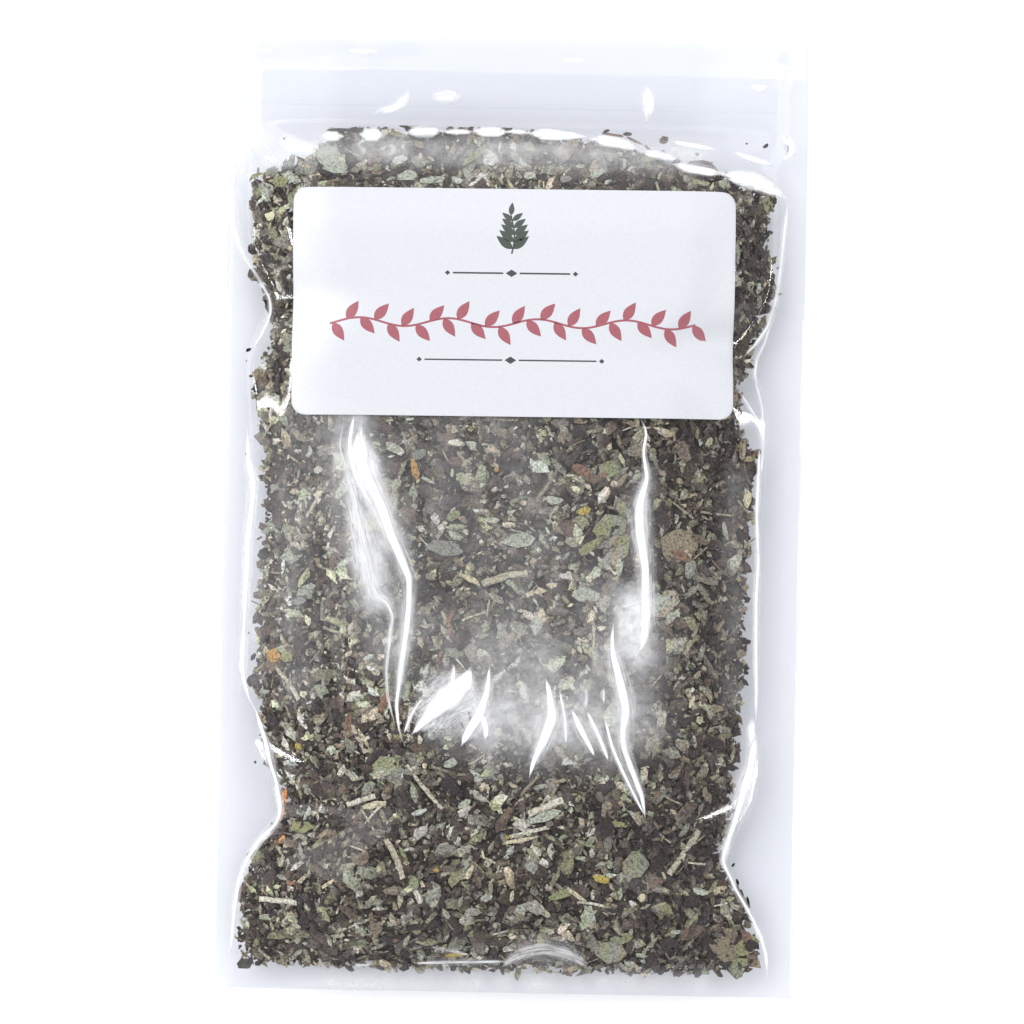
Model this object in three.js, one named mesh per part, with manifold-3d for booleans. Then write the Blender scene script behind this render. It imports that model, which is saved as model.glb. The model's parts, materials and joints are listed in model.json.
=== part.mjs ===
// A clear grip-seal pouch of dried, cut sage, lying on its back.
// Millimetres. +X runs across the pouch, +Y up to its mouth, +Z out of its front.
// The origin is under the middle of the pouch, on the surface that it lies on.

import * as THREE from "three";
import { mergeVertices } from "three/addons/utils/BufferGeometryUtils.js";
import Module from "manifold-3d";

const wasm = await Module();
wasm.setup();

// Driving dimensions of the pouch
const pouchWidth = 120;
const pouchLength = 200;
const filmThickness = 0.3;
const sideSealWidth = 4;
const bottomSealWidth = 3;
const sealHeight = 6; // how high the side seals stand over the surface
const mouthDroop = 3; // how much lower the mouth hangs
const mouthDroopStart = 89.5;
const filmGap = 0.3; // between the two films where they lie flat on each other

// The filled belly: its depths are measured from the seals
const frontDepth = 11.5;
const backDepth = sealHeight - filmThickness - filmGap / 2;
const bellyLeft = 55.4;
const bellyRight = 53.6;
const bellyBottom = -96.6;
const bellyTop = 80;
const sideRise = 27; // how far in from a side the belly reaches its full depth
const sideRiseAtLabel = 19; // the label holds the film flatter
const bottomRise = 20;
const topRise = 24;
const backRiseShare = 0.75; // the back rises faster than the front, to lie flat
const pinches = [
  { side: -1, at: 43, depth: 4.6, reach: 8 },
  { side: -1, at: 14, depth: 1.2, reach: 16 },
  { side: -1, at: -61, depth: 8.6, reach: 9.5 },
  { side: 1, at: 34, depth: 6.4, reach: 8 },
  { side: 1, at: -18, depth: 2.0, reach: 26 },
  { side: 1, at: -71.5, depth: 8.2, reach: 9.5 },
];
const pinchDip = 0.45; // share of the depth that a pinch takes at the edge
const pinchLength = 15; // how far a pinch runs in from the edge

// The zip under the mouth: two strips, a rib on one and two jaws on the other
const zipAt = 84;
const zipBandHeight = 9;
const zipHalfGap = 1.1;
const zipLength = 107;
const zipEnd = 54; // where the gap at the zip starts to close, out from the middle
const flangeThickness = 0.4;
const touchGap = 0.3;
const ribWidth = 0.6;
const jawWidth = 0.5;

// The paper label
const labelWidth = 91;
const labelHeight = 46.8;
const labelX = -0.4;
const labelY = 43.1;
const labelThickness = 0.25;
const labelCorner = 2.8;

// The cut herb
const herbInset = 4.2;
const herbClearance = 0.5;
const herbBottom = -94.6;
const herbTop = 78.2;
const herbTopFall = 11;
const herbTopMiddle = -5;
const flakeThickness = 0.8;
const flakeSpacingFront = 15;
const flakeSpacingBack = 23;
const flakeRadius = [4.2, 5.7]; // on the front, and larger on the back as its spacing is
const flakeLift = 0.55;
const flakeTilt = 0.16;
const relief = 0.7;

// Bigger bits that lie against the front film: x, y, direction in degrees, length, width
const stemPieces = [
  [-30.9, -46.2, -63, 8.9, 1.1],
  [-16.8, -57.0, -50, 11.6, 0.9],
  [-46.4, -81.5, -2, 8.6, 1.2],
  [-29.8, -60.2, 21, 6.3, 1.2],
  [-22.7, -71.8, -66, 8.9, 1.3],
  [-45.8, -71.5, 78, 5.8, 1.0],
  [-46.0, -36.2, -50, 9.1, 1.0],
  [37.9, -38.6, -67, 5.8, 1.2],
  [8.2, -60.6, 24, 7.6, 1.6],
  [5.0, -65.8, 15, 8.4, 0.9],
  [37.0, -69.8, 56, 11.0, 1.5],
  [37.3, -26.0, 67, 6.9, 1.0],
  [-1.0, -13.9, 15, 9.3, 1.6],
  [-40.0, 1.6, 59, 8.6, 0.8],
];
const leafPieces = [
  [-29.8, -2.5, 4, 6.6, 3.4],
  [21.0, -2.6, 20, 6.2, 5.2],
  [21.2, -9.0, 38, 8.4, 3.6],
  [15.9, -17.1, -6, 5.6, 3.4],
  [32.0, -18.6, 50, 7.6, 4.4],
  [34.6, -6.4, 20, 9.4, 7.6],
  [26.6, -72.3, 70, 6.6, 5.6],
  [-25.4, -53.3, 28, 7.4, 4.6],
  [22.4, -90.6, 0, 7.4, 5.2],
  [46.2, -90.0, -20, 7.6, 5.0],
];
const pieceDepth = 0.95; // how far a loose piece lies under the film
const leafPieceThickness = 0.7;

// A small seeded generator, so that every run gives the same pouch
function seeded(seed) {
  let state = seed >>> 0;
  return () => {
    state = (state + 0x6d2b79f5) >>> 0;
    let t = Math.imul(state ^ (state >>> 15), 1 | state);
    t = (t + Math.imul(t ^ (t >>> 7), 61 | t)) ^ t;
    return ((t ^ (t >>> 14)) >>> 0) / 4294967296;
  };
}

const clamp01 = (t) => Math.min(1, Math.max(0, t));
const smooth = (t) => clamp01(t) ** 2 * (3 - 2 * clamp01(t));
const lerp = (a, b, t) => a + (b - a) * t;
const rise = (distance, reach) => Math.sin((Math.PI / 2) * clamp01(distance / reach));

// How far the belly reaches to one side at a height y, with the film's pinches
function reachAt(side, y) {
  let reach = side < 0 ? bellyLeft : bellyRight;
  for (const pinch of pinches) {
    if (pinch.side === side) reach -= pinch.depth * Math.exp(-(((y - pinch.at) / pinch.reach) ** 2));
  }
  return reach;
}

// The valleys that run in from the pinches, as a share of the depth that is lost
function pinchValley(x, y) {
  let lost = 0;
  for (const pinch of pinches) {
    const inward = reachAt(pinch.side, pinch.at) - pinch.side * x;
    const across = (y - pinch.at) / (pinch.reach * 0.55);
    const strength = (pinchDip * pinch.depth) / 8.6;
    lost += strength * Math.exp(-((inward / pinchLength) ** 2) - across ** 2);
  }
  return Math.min(lost, 0.6);
}

// How full the belly is, from 0 where the films meet to 1 in the middle
function fullness(x, y, share = 1) {
  const aside = lerp(sideRise, sideRiseAtLabel, smooth((y - 12) / 20)) * share;
  const left = rise(x + reachAt(-1, y), aside);
  const right = rise(reachAt(1, y) - x, aside);
  const bottom = rise(y - bellyBottom, bottomRise * share);
  const top = rise(bellyTop - y, topRise * share);
  return left * right * bottom * top;
}

// Half the gap that the zip holds between the films
function zipGap(x, y) {
  const sealAt = pouchWidth / 2 - sideSealWidth;
  const along = smooth((sealAt - Math.abs(x)) / (sealAt - zipEnd));
  const below = smooth((y - (zipAt - 13)) / 6);
  const above = lerp(1, 0.3, smooth((y - (zipAt + 6)) / 10));
  return zipHalfGap * along * below * above;
}

const sealPlane = (y) => sealHeight - mouthDroop * smooth((y - mouthDroopStart) / (pouchLength / 2 - mouthDroopStart));

function frontInside(x, y) {
  const belly = frontDepth * fullness(x, y) * (1 - pinchValley(x, y));
  return sealPlane(y) + filmGap / 2 + zipGap(x, y) + belly;
}

function backInside(x, y) {
  const belly = backDepth * fullness(x, y, backRiseShare) - Math.min(zipGap(x, y), 0);
  return sealPlane(y) - filmGap / 2 - Math.max(belly, zipGap(x, y));
}

// The upward normal of a height surface
function normalOf(height, x, y) {
  const step = 0.2;
  const slopeX = (height(x + step, y) - height(x - step, y)) / (2 * step);
  const slopeY = (height(x, y + step) - height(x, y - step)) / (2 * step);
  return new THREE.Vector3(-slopeX, -slopeY, 1).normalize();
}

// A point on a height surface, moved along its normal
function offsetPoint(height, x, y, distance) {
  return normalOf(height, x, y).multiplyScalar(distance).add(new THREE.Vector3(x, y, height(x, y)));
}

function solidOf(points, triangles) {
  const mesh = new wasm.Mesh({
    numProp: 3,
    vertProperties: Float32Array.from(points.flatMap((p) => [p.x, p.y, p.z])),
    triVerts: Uint32Array.from(triangles.flat()),
  });
  return new wasm.Manifold(mesh);
}

// A closed solid between an upper and a lower grid of points, across columns and up rows
function sheetSolid(columns, rows, upper, lower) {
  const points = [];
  for (const side of [upper, lower]) {
    for (let j = 0; j < rows; j++) {
      for (let i = 0; i < columns; i++) points.push(side(i, j));
    }
  }
  const below = columns * rows;
  const at = (i, j) => j * columns + i;
  const triangles = [];
  for (let j = 0; j + 1 < rows; j++) {
    for (let i = 0; i + 1 < columns; i++) {
      const [a, b, c, d] = [at(i, j), at(i + 1, j), at(i + 1, j + 1), at(i, j + 1)];
      triangles.push([a, b, c], [a, c, d]);
      triangles.push([below + a, below + c, below + b], [below + a, below + d, below + c]);
    }
  }
  const rim = [];
  for (let i = 0; i < columns; i++) rim.push(at(i, 0));
  for (let j = 1; j < rows; j++) rim.push(at(columns - 1, j));
  for (let i = columns - 2; i >= 0; i--) rim.push(at(i, rows - 1));
  for (let j = rows - 2; j > 0; j--) rim.push(at(0, j));
  rim.forEach((a, k) => {
    const b = rim[(k + 1) % rim.length];
    triangles.push([a, below + a, below + b], [a, below + b, b]);
  });
  return solidOf(points, triangles);
}

function geometryOf(solid) {
  const mesh = solid.getMesh();
  const geometry = new THREE.BufferGeometry();
  const position = new Float32Array(mesh.numVert * 3);
  for (let i = 0; i < mesh.numVert; i++) {
    position.set(mesh.vertProperties.subarray(i * mesh.numProp, i * mesh.numProp + 3), i * 3);
  }
  geometry.setAttribute("position", new THREE.BufferAttribute(position, 3));
  geometry.setIndex(new THREE.BufferAttribute(Uint32Array.from(mesh.triVerts), 1));
  geometry.computeVertexNormals();
  return geometry;
}

// A three.js geometry as a solid, with its shared vertices merged
function solidFrom(geometry) {
  const bare = geometry.clone();
  bare.deleteAttribute("normal");
  bare.deleteAttribute("uv");
  const merged = mergeVertices(bare, 1e-4);
  return new wasm.Manifold(
    new wasm.Mesh({
      numProp: 3,
      vertProperties: merged.attributes.position.array,
      triVerts: Uint32Array.from(merged.index.array),
    }),
  );
}

// Shares of the way across the belly: close together near the edges, where the film curves
const acrossShares = [0, 0.03, 0.075, 0.13, 0.2, 0.32, 0.5, 0.68, 0.8, 0.87, 0.925, 0.97, 1];
const bellyRows = 27;
const headerRows = [zipAt - 2, zipAt + 2, zipAt + 6, zipAt + 10, zipAt + 14];

const lowestRow = bellyBottom + 1.7;

function rowsUpTheBelly() {
  const rows = [bellyBottom, lowestRow];
  for (let j = 1; j <= bellyRows; j++) {
    const t = j / bellyRows;
    const eased = t - (0.35 / (2 * Math.PI)) * Math.sin(2 * Math.PI * t);
    rows.push(lerp(bellyBottom, bellyTop, eased));
  }
  return rows;
}

// Where the film's columns run: the belly's edges, and the zip's ends above them
function columnsAt(y) {
  const up = smooth((y - 62) / 12);
  const left = lerp(-reachAt(-1, y), -zipEnd, up);
  const right = lerp(reachAt(1, y), zipEnd, up);
  return acrossShares.map((share) => lerp(left, right, share));
}

// A sheet that follows the film's own facets, between an offset of the front and one of the back
function filmSheet(rows, columnsOf, upper, lower) {
  return sheetSolid(
    columnsOf(0).length,
    rows.length,
    (i, j) => upper(columnsOf(rows[j])[i], rows[j]),
    (i, j) => lower(columnsOf(rows[j])[i], rows[j]),
  );
}

// The pouch: outer skin less the room inside, open at the mouth
function makePouch() {
  const halfWidth = pouchWidth / 2;
  const halfLength = pouchLength / 2;
  const innerWidth = halfWidth - sideSealWidth;
  const rows = [...rowsUpTheBelly(), ...headerRows];
  const outer = filmSheet(
    [-halfLength, ...rows, halfLength],
    (y) => [-halfWidth, -innerWidth, ...columnsAt(y), innerWidth, halfWidth],
    (x, y) => edgeTrue(offsetPoint(frontInside, x, y, filmThickness)),
    (x, y) => edgeTrue(offsetPoint(backInside, x, y, -filmThickness)),
  );
  const room = filmSheet(
    [-halfLength + bottomSealWidth, ...rows, halfLength + 1],
    (y) => [-innerWidth, ...columnsAt(y), innerWidth],
    (x, y) => offsetPoint(frontInside, x, y, 0),
    (x, y) => offsetPoint(backInside, x, y, 0),
  );
  return outer.subtract(room);
}

// Keeps the offset skin within the pouch's true width and length, and on the surface
function edgeTrue(point) {
  point.x = THREE.MathUtils.clamp(point.x, -pouchWidth / 2, pouchWidth / 2);
  point.y = THREE.MathUtils.clamp(point.y, -pouchLength / 2, pouchLength / 2);
  point.z = Math.max(point.z, 0);
  return point;
}

// A strip of the zip from its section, given as y and z about the middle of the gap
function makeZipStrip(section) {
  const shape = new THREE.Shape(section.map(([y, z]) => new THREE.Vector2(y, z)));
  const strip = new THREE.ExtrudeGeometry(shape, { depth: zipLength, bevelEnabled: false });
  strip.applyMatrix4(
    new THREE.Matrix4().makeBasis(
      new THREE.Vector3(0, 1, 0),
      new THREE.Vector3(0, 0, 1),
      new THREE.Vector3(1, 0, 0),
    ),
  );
  strip.translate(-zipLength / 2, zipAt, sealHeight);
  return strip;
}

const flangeOuter = zipHalfGap + filmGap / 2 - touchGap;
const flangeInner = flangeOuter - flangeThickness;
const flangeHalf = zipBandHeight / 2;

function makeZipRib() {
  const tip = -flangeInner + touchGap;
  return makeZipStrip([
    [-flangeHalf, flangeOuter],
    [-flangeHalf, flangeInner],
    [-ribWidth / 2, flangeInner],
    [-ribWidth / 2, tip],
    [ribWidth / 2, tip],
    [ribWidth / 2, flangeInner],
    [flangeHalf, flangeInner],
    [flangeHalf, flangeOuter],
  ]);
}

function makeZipGroove() {
  const near = ribWidth / 2 + touchGap;
  const far = near + jawWidth;
  const tip = flangeInner - touchGap;
  const right = [
    [flangeHalf, -flangeOuter],
    [flangeHalf, -flangeInner],
    [far, -flangeInner],
    [far, tip],
    [near, tip],
    [near, -flangeInner],
  ];
  const left = right.map(([y, z]) => [-y, z]).reverse();
  return makeZipStrip([...right, ...left]);
}

// The label lies on the front film, touchGap above it
function makeLabel() {
  const [halfWidth, halfHeight] = [labelWidth / 2 - labelCorner, labelHeight / 2 - labelCorner];
  const outline = new THREE.Shape();
  outline.absarc(halfWidth, halfHeight, labelCorner, 0, Math.PI / 2);
  outline.absarc(-halfWidth, halfHeight, labelCorner, Math.PI / 2, Math.PI);
  outline.absarc(-halfWidth, -halfHeight, labelCorner, Math.PI, 1.5 * Math.PI);
  outline.absarc(halfWidth, -halfHeight, labelCorner, 1.5 * Math.PI, 2 * Math.PI);
  const block = new THREE.ExtrudeGeometry(outline, { depth: 40, curveSegments: 5, bevelEnabled: false });
  block.translate(labelX, labelY, 0);
  const base = filmThickness + touchGap;
  const sheet = filmSheet(
    rowsUpTheBelly(),
    columnsAt,
    (x, y) => offsetPoint(frontInside, x, y, base + labelThickness),
    (x, y) => offsetPoint(frontInside, x, y, base),
  );
  return sheet.intersect(solidFrom(block));
}

const herbTopAt = (x) => {
  const half = x < herbTopMiddle ? 51 : 57;
  return herbTop - herbTopFall * Math.abs((x - herbTopMiddle) / half) ** 4;
};

// A place in the herb from shares across and up, each 0 to 1
function herbPlace(across, up, inset) {
  const guess = lerp(-bellyLeft, bellyRight, across);
  const top = Math.min(herbTopAt(guess), bellyTop - 1.2) - inset * 0.4;
  const y = lerp(herbBottom + inset * 0.4, top, up);
  const x = lerp(-reachAt(-1, y) + herbInset + inset, reachAt(1, y) - herbInset - inset, across);
  return [x, y];
}

// The herb's body between the films, set back from them, with a rough face
function herbBody(columns, rows, setback, roughness, inset, seed) {
  const random = seeded(seed);
  const side = (height, sign) => (i, j) => {
    const [x, y] = herbPlace(i / (columns - 1), j / (rows - 1), inset);
    const edge = i === 0 || j === 0 || i === columns - 1 || j === rows - 1;
    const rough = edge ? 0 : roughness * random();
    return new THREE.Vector3(x, y, height(x, y) - sign * (setback + rough));
  };
  return sheetSolid(columns, rows, side(frontInside, 1), side(backInside, -1));
}

// An uneven, many-sided flake of cut leaf, flat in its own XY
function flakeSolid(random, radius, thickness, corners) {
  const outline = [];
  for (let k = 0; k < corners; k++) {
    const turn = ((k + 0.5 * random()) / corners) * 2 * Math.PI;
    const reach = radius * (0.7 + 0.5 * random());
    outline.push(new THREE.Vector2(reach * Math.cos(turn), 0.72 * reach * Math.sin(turn)));
  }
  const flake = new THREE.ExtrudeGeometry(new THREE.Shape(outline), { depth: thickness, bevelEnabled: false });
  flake.translate(0, 0, -thickness / 2);
  return flake;
}

// Flakes over one face of the herb, in staggered rows, each a little tilted and sunk in
function flakesOn(height, sign, spacing, seed) {
  const random = seeded(seed);
  const flakes = [];
  const rowCount = Math.round((herbTop - herbBottom) / (spacing * 0.87));
  const columnCount = Math.round((bellyLeft + bellyRight) / spacing);
  for (let j = 0; j < rowCount; j++) {
    for (let i = 0; i < columnCount; i++) {
      const across = (i + (j % 2 ? 0.75 : 0.25) + 0.3 * (random() - 0.5)) / columnCount;
      const up = (j + 0.5 + 0.3 * (random() - 0.5)) / rowCount;
      const [x, y] = herbPlace(across, up, 0.8);
      const normal = normalOf(height, x, y).multiplyScalar(sign);
      normal.x += flakeTilt * (2 * random() - 1);
      normal.y += flakeTilt * (2 * random() - 1);
      const turn = new THREE.Quaternion().setFromAxisAngle(new THREE.Vector3(0, 0, 1), 2 * Math.PI * random());
      const lay = new THREE.Quaternion().setFromUnitVectors(new THREE.Vector3(0, 0, 1), normal.normalize());
      const radius = lerp(...flakeRadius, random()) * (spacing / flakeSpacingFront);
      const flake = flakeSolid(random, radius, flakeThickness, 5);
      const z = height(x, y) - sign * (herbClearance + flakeLift + 0.3 * random());
      const where = new THREE.Vector3(x, y, z);
      flake.applyMatrix4(new THREE.Matrix4().compose(where, lay.multiply(turn), new THREE.Vector3(1, 1, 1)));
      flakes.push(solidFrom(flake));
    }
  }
  return flakes;
}

// A short bent stick along a direction in the front film's plane
function stickPath(x, y, degrees, length, depth) {
  const turn = THREE.MathUtils.degToRad(degrees);
  const along = new THREE.Vector2(Math.cos(turn), Math.sin(turn));
  const end = (share) => {
    const px = x + along.x * length * share;
    const py = y + along.y * length * share;
    return new THREE.Vector3(px, py, frontInside(px, py) - depth);
  };
  const bend = new THREE.Vector3(-along.y, along.x, 0).multiplyScalar(0.08 * length);
  return new THREE.QuadraticBezierCurve3(end(-0.5), end(0).add(bend), end(0.5));
}

function ring(radiusAcross, radiusUp, sides) {
  const outline = [];
  for (let k = 0; k < sides; k++) {
    const turn = (k / sides) * 2 * Math.PI;
    outline.push(new THREE.Vector2(radiusUp * Math.cos(turn), radiusAcross * Math.sin(turn)));
  }
  return new THREE.Shape(outline);
}

function makeStem([x, y, degrees, length, width]) {
  const path = stickPath(x, y, degrees, length, pieceDepth + width / 2);
  return new THREE.ExtrudeGeometry(ring(width / 2, width / 2, 7), { steps: 4, extrudePath: path, bevelEnabled: false });
}

// A leaf fragment arched a little along its length, as the film presses it
function makeLeaf([x, y, degrees, length, width], grow = 0, lid = 0) {
  const columns = 5;
  const rows = 3;
  const turn = THREE.MathUtils.degToRad(degrees);
  const place = (lift) => (i, j) => {
    const along = lerp(-1, 1, i / (columns - 1));
    const half = (width / 2) * (1 - 0.45 * along ** 2) * (1 + 0.12 * Math.sin(5 * along + x)) + grow;
    const side = lerp(-half, half, j / (rows - 1));
    const reach = (length / 2 + grow) * along;
    const px = x + reach * Math.cos(turn) - side * Math.sin(turn);
    const py = y + reach * Math.sin(turn) + side * Math.cos(turn);
    const arch = 0.35 * (side / (half + 1e-6)) ** 2;
    return new THREE.Vector3(px, py, frontInside(px, py) - pieceDepth - arch + lift);
  };
  return sheetSolid(columns, rows, place(lid), place(-leafPieceThickness - grow));
}

// The room that a stem needs in the herb, open to the front
function stemTrench([x, y, degrees, length, width]) {
  const turn = new THREE.Matrix4().makeRotationZ(THREE.MathUtils.degToRad(degrees));
  const trench = new THREE.BoxGeometry(length + 2.2, width + 2 * touchGap + 0.2 * length, 16);
  trench.applyMatrix4(turn);
  const path = stickPath(x, y, degrees, length + 1, pieceDepth + width);
  const floor = Math.min(...[0, 0.5, 1].map((share) => path.getPoint(share).z)) - 0.7;
  trench.translate(x, y, floor + 8);
  return solidFrom(trench);
}

function makeHerb() {
  const core = herbBody(13, 19, herbClearance + 0.35, relief, 0, 11);
  const flakes = [
    ...flakesOn(frontInside, 1, flakeSpacingFront, 21),
    ...flakesOn(backInside, -1, flakeSpacingBack, 22),
  ];
  const envelope = filmSheet(
    [...rowsUpTheBelly().filter((y) => y >= lowestRow && y < herbTop), herbTop + 0.7],
    (y) => columnsAt(y).slice(1, -1),
    (x, y) => offsetPoint(frontInside, x, y, -herbClearance),
    (x, y) => offsetPoint(backInside, x, y, herbClearance),
  );
  const trenches = [...stemPieces.map(stemTrench), ...leafPieces.map((piece) => makeLeaf(piece, touchGap, 6))];
  const whole = wasm.Manifold.union([core, ...flakes]).intersect(envelope);
  const carved = whole.subtract(wasm.Manifold.union(trenches));
  return carved.decompose().sort((a, b) => b.volume() - a.volume())[0];
}

const film = new THREE.MeshStandardMaterial({
  color: 0xeef0f8,
  roughness: 0.12,
  transparent: true,
  opacity: 0.25,
  side: THREE.DoubleSide,
});
const zipPlastic = new THREE.MeshStandardMaterial({ color: 0xf2f4fa, roughness: 0.25 });
const paper = new THREE.MeshStandardMaterial({ color: 0xf3f5f9, roughness: 0.55 });
const herb = new THREE.MeshStandardMaterial({ color: 0x6b6a60, roughness: 0.95, flatShading: true });
const paleLeaf = new THREE.MeshStandardMaterial({ color: 0x98a08a, roughness: 0.95 });
const straw = new THREE.MeshStandardMaterial({ color: 0xb7a888, roughness: 0.85 });

const pouchOfSage = new THREE.Group();

function add(name, geometry, material) {
  const mesh = new THREE.Mesh(geometry, material);
  mesh.name = name;
  pouchOfSage.add(mesh);
}

const numbered = (name, k) => `${name}_${String(k + 1).padStart(2, "0")}`;

add("pouch", geometryOf(makePouch()), film);
add("zip_rib_strip", makeZipRib(), zipPlastic);
add("zip_groove_strip", makeZipGroove(), zipPlastic);
add("label", geometryOf(makeLabel()), paper);
add("cut_sage", geometryOf(makeHerb()), herb);
stemPieces.forEach((piece, k) => add(numbered("stem_piece", k), makeStem(piece), straw));
leafPieces.forEach((piece, k) => add(numbered("leaf_piece", k), geometryOf(makeLeaf(piece)), paleLeaf));

export default pouchOfSage;
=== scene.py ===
import bpy
import json
import math
import numpy as np
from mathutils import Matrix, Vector

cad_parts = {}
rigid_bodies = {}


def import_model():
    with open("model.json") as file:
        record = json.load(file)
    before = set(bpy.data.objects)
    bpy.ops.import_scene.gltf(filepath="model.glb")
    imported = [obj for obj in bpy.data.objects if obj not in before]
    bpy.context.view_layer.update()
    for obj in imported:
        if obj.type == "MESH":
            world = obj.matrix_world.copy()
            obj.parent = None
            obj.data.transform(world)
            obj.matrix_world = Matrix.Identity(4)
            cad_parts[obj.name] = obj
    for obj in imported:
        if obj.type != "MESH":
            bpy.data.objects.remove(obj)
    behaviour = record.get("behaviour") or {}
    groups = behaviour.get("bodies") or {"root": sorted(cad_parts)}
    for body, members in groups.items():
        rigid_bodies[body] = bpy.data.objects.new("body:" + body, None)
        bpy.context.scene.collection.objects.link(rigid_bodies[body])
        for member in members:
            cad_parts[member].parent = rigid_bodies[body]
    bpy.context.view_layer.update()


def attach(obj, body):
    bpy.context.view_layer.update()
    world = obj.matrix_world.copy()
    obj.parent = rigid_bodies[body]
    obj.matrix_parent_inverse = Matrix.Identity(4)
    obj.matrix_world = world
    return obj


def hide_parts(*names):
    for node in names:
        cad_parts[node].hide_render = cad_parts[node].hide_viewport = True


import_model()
scene = bpy.context.scene
print("frame loaded")

metre = 0.001  # every size below is in millimetres until it becomes a mesh


# the pouch's own shape, as the solids have it

pouch = dict(
    width=120.0, length=200.0, sideSeal=4.0, sealHeight=6.0, mouthDroop=3.0, droopStart=89.5,
    frontDepth=11.5, backDepth=5.86, left=55.4, right=53.6, bottom=-96.6, top=80.0,
    sideRise=27.0, sideRiseAtLabel=19.0, bottomRise=20.0, topRise=24.0, backShare=0.75,
    zipAt=84.0, zipHalfGap=1.1, zipEnd=54.0, pinchDip=0.45, pinchLength=15.0, deepestPinch=8.6,
    labelFrom=12.0, labelRise=20.0, halfWeld=0.02,
)
pinches = (  # side, height, depth, reach along the edge
    (-1, 43.0, 4.6, 8.0), (-1, 14.0, 1.2, 16.0), (-1, -61.0, 8.6, 9.5),
    (1, 34.0, 6.4, 8.0), (1, -18.0, 2.0, 26.0), (1, -71.5, 8.2, 9.5),
)


def smooth(t):
    t = np.clip(t, 0.0, 1.0)
    return t * t * (3.0 - 2.0 * t)


def rise(distance, reach):
    return np.sin(0.5 * np.pi * np.clip(distance / reach, 0.0, 1.0))


def reachAt(side, y):
    reach = np.full_like(y, pouch["left"] if side < 0 else pouch["right"])
    for pinchSide, at, depth, along in pinches:
        if pinchSide == side:
            reach = reach - depth * np.exp(-(((y - at) / along) ** 2))
    return reach


def pinchValley(x, y):
    lost = np.zeros_like(x)
    for side, at, depth, along in pinches:
        inward = reachAt(side, np.array([at]))[0] - side * x
        across = (y - at) / (along * 0.55)
        strength = pouch["pinchDip"] * depth / pouch["deepestPinch"]
        lost = lost + strength * np.exp(-((inward / pouch["pinchLength"]) ** 2) - across**2)
    return np.minimum(lost, 0.6)


def fullness(x, y, share=1.0):
    p = pouch
    atLabel = smooth((y - p["labelFrom"]) / p["labelRise"])
    aside = (p["sideRise"] + (p["sideRiseAtLabel"] - p["sideRise"]) * atLabel) * share
    left, right = rise(x + reachAt(-1, y), aside), rise(reachAt(1, y) - x, aside)
    low, high = rise(y - p["bottom"], p["bottomRise"] * share), rise(p["top"] - y, p["topRise"] * share)
    return left * right * low * high


def zipGap(x, y):
    sealAt = pouch["width"] / 2 - pouch["sideSeal"]
    along = smooth((sealAt - np.abs(x)) / (sealAt - pouch["zipEnd"]))
    above = 1.0 - 0.7 * smooth((y - pouch["zipAt"] - 6.0) / 10.0)
    return pouch["zipHalfGap"] * along * smooth((y - pouch["zipAt"] + 13.0) / 6.0) * above


def sealPlane(y):
    start = pouch["droopStart"]
    return pouch["sealHeight"] - pouch["mouthDroop"] * smooth((y - start) / (pouch["length"] / 2 - start))


# seeded noise, for wrinkles and rough outlines

def waves(x, y, size, seed):  # smooth noise from -1 to 1 with bumps about that size
    grid = np.random.default_rng(seed).uniform(-1.0, 1.0, (64, 64))
    u, v = x / size + 1000.0, y / size + 1000.0
    i, j = np.floor(u).astype(int), np.floor(v).astype(int)
    s, t = smooth(u - i), smooth(v - j)
    a, b = grid[i % 64, j % 64], grid[(i + 1) % 64, j % 64]
    c, d = grid[i % 64, (j + 1) % 64], grid[(i + 1) % 64, (j + 1) % 64]
    return (a * (1 - s) + b * s) * (1 - t) + (c * (1 - s) + d * s) * t


wrinkles = dict(
    swell=0.2, swellSize=15.0, ripple=0.035, rippleSize=4.5,
    side=0.08, sideSize=6.0, sideLength=9.0, bottom=0.18, bottomSize=6.5, bottomLength=9.0, fade=5.0,
    header=0.16, headerSize=5.0, headerFade=4.0, underLabel=0.1, labelFade=3.0,
    labelX=-0.4, labelY=43.1, labelHalfWidth=48.5, labelHalfHeight=26.5,
)


def filmRelief(x, y):
    w = wrinkles
    fade, zipFrom = w["fade"], pouch["zipAt"] - 5.0
    inside = smooth((reachAt(-1, y) + x) / fade) * smooth((reachAt(1, y) - x) / fade)
    inside = inside * smooth((y - pouch["bottom"]) / fade) * smooth((zipFrom - y) / fade)
    height = w["swell"] * waves(x, y, w["swellSize"], 3) + w["ripple"] * waves(x, y, w["rippleSize"], 4)
    height = height * inside
    for side, seed in ((-1, 5), (1, 6)):
        inward = np.maximum(reachAt(side, y) - side * x, 0.0)
        slant = waves(y + 0.35 * inward, inward * 0.25, w["sideSize"], seed)
        fading = np.exp(-inward / w["sideLength"]) * smooth(inward / 2.0)
        height = height + w["side"] * slant * fading * inside
    upward = np.maximum(y - pouch["bottom"], 0.0)
    slant = waves(x, y * 0.3, w["bottomSize"], 7)
    height = height + w["bottom"] * slant * np.exp(-upward / w["bottomLength"]) * inside
    aside, above = np.abs(x - w["labelX"]), np.abs(y - w["labelY"])
    under = smooth((w["labelHalfWidth"] - aside) / w["labelFade"])
    under = under * smooth((w["labelHalfHeight"] - above) / w["labelFade"])
    return height * (1.0 - (1.0 - w["underLabel"]) * under)


def headerRelief(x, y):
    w = wrinkles
    above = smooth((y - pouch["zipAt"] - 5.0) / w["headerFade"]) * smooth((58.0 - np.abs(x)) / w["fade"])
    return w["header"] * above * (waves(x * 0.5, y, w["headerSize"], 8) + 0.5)


filmThickness = 0.12


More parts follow.
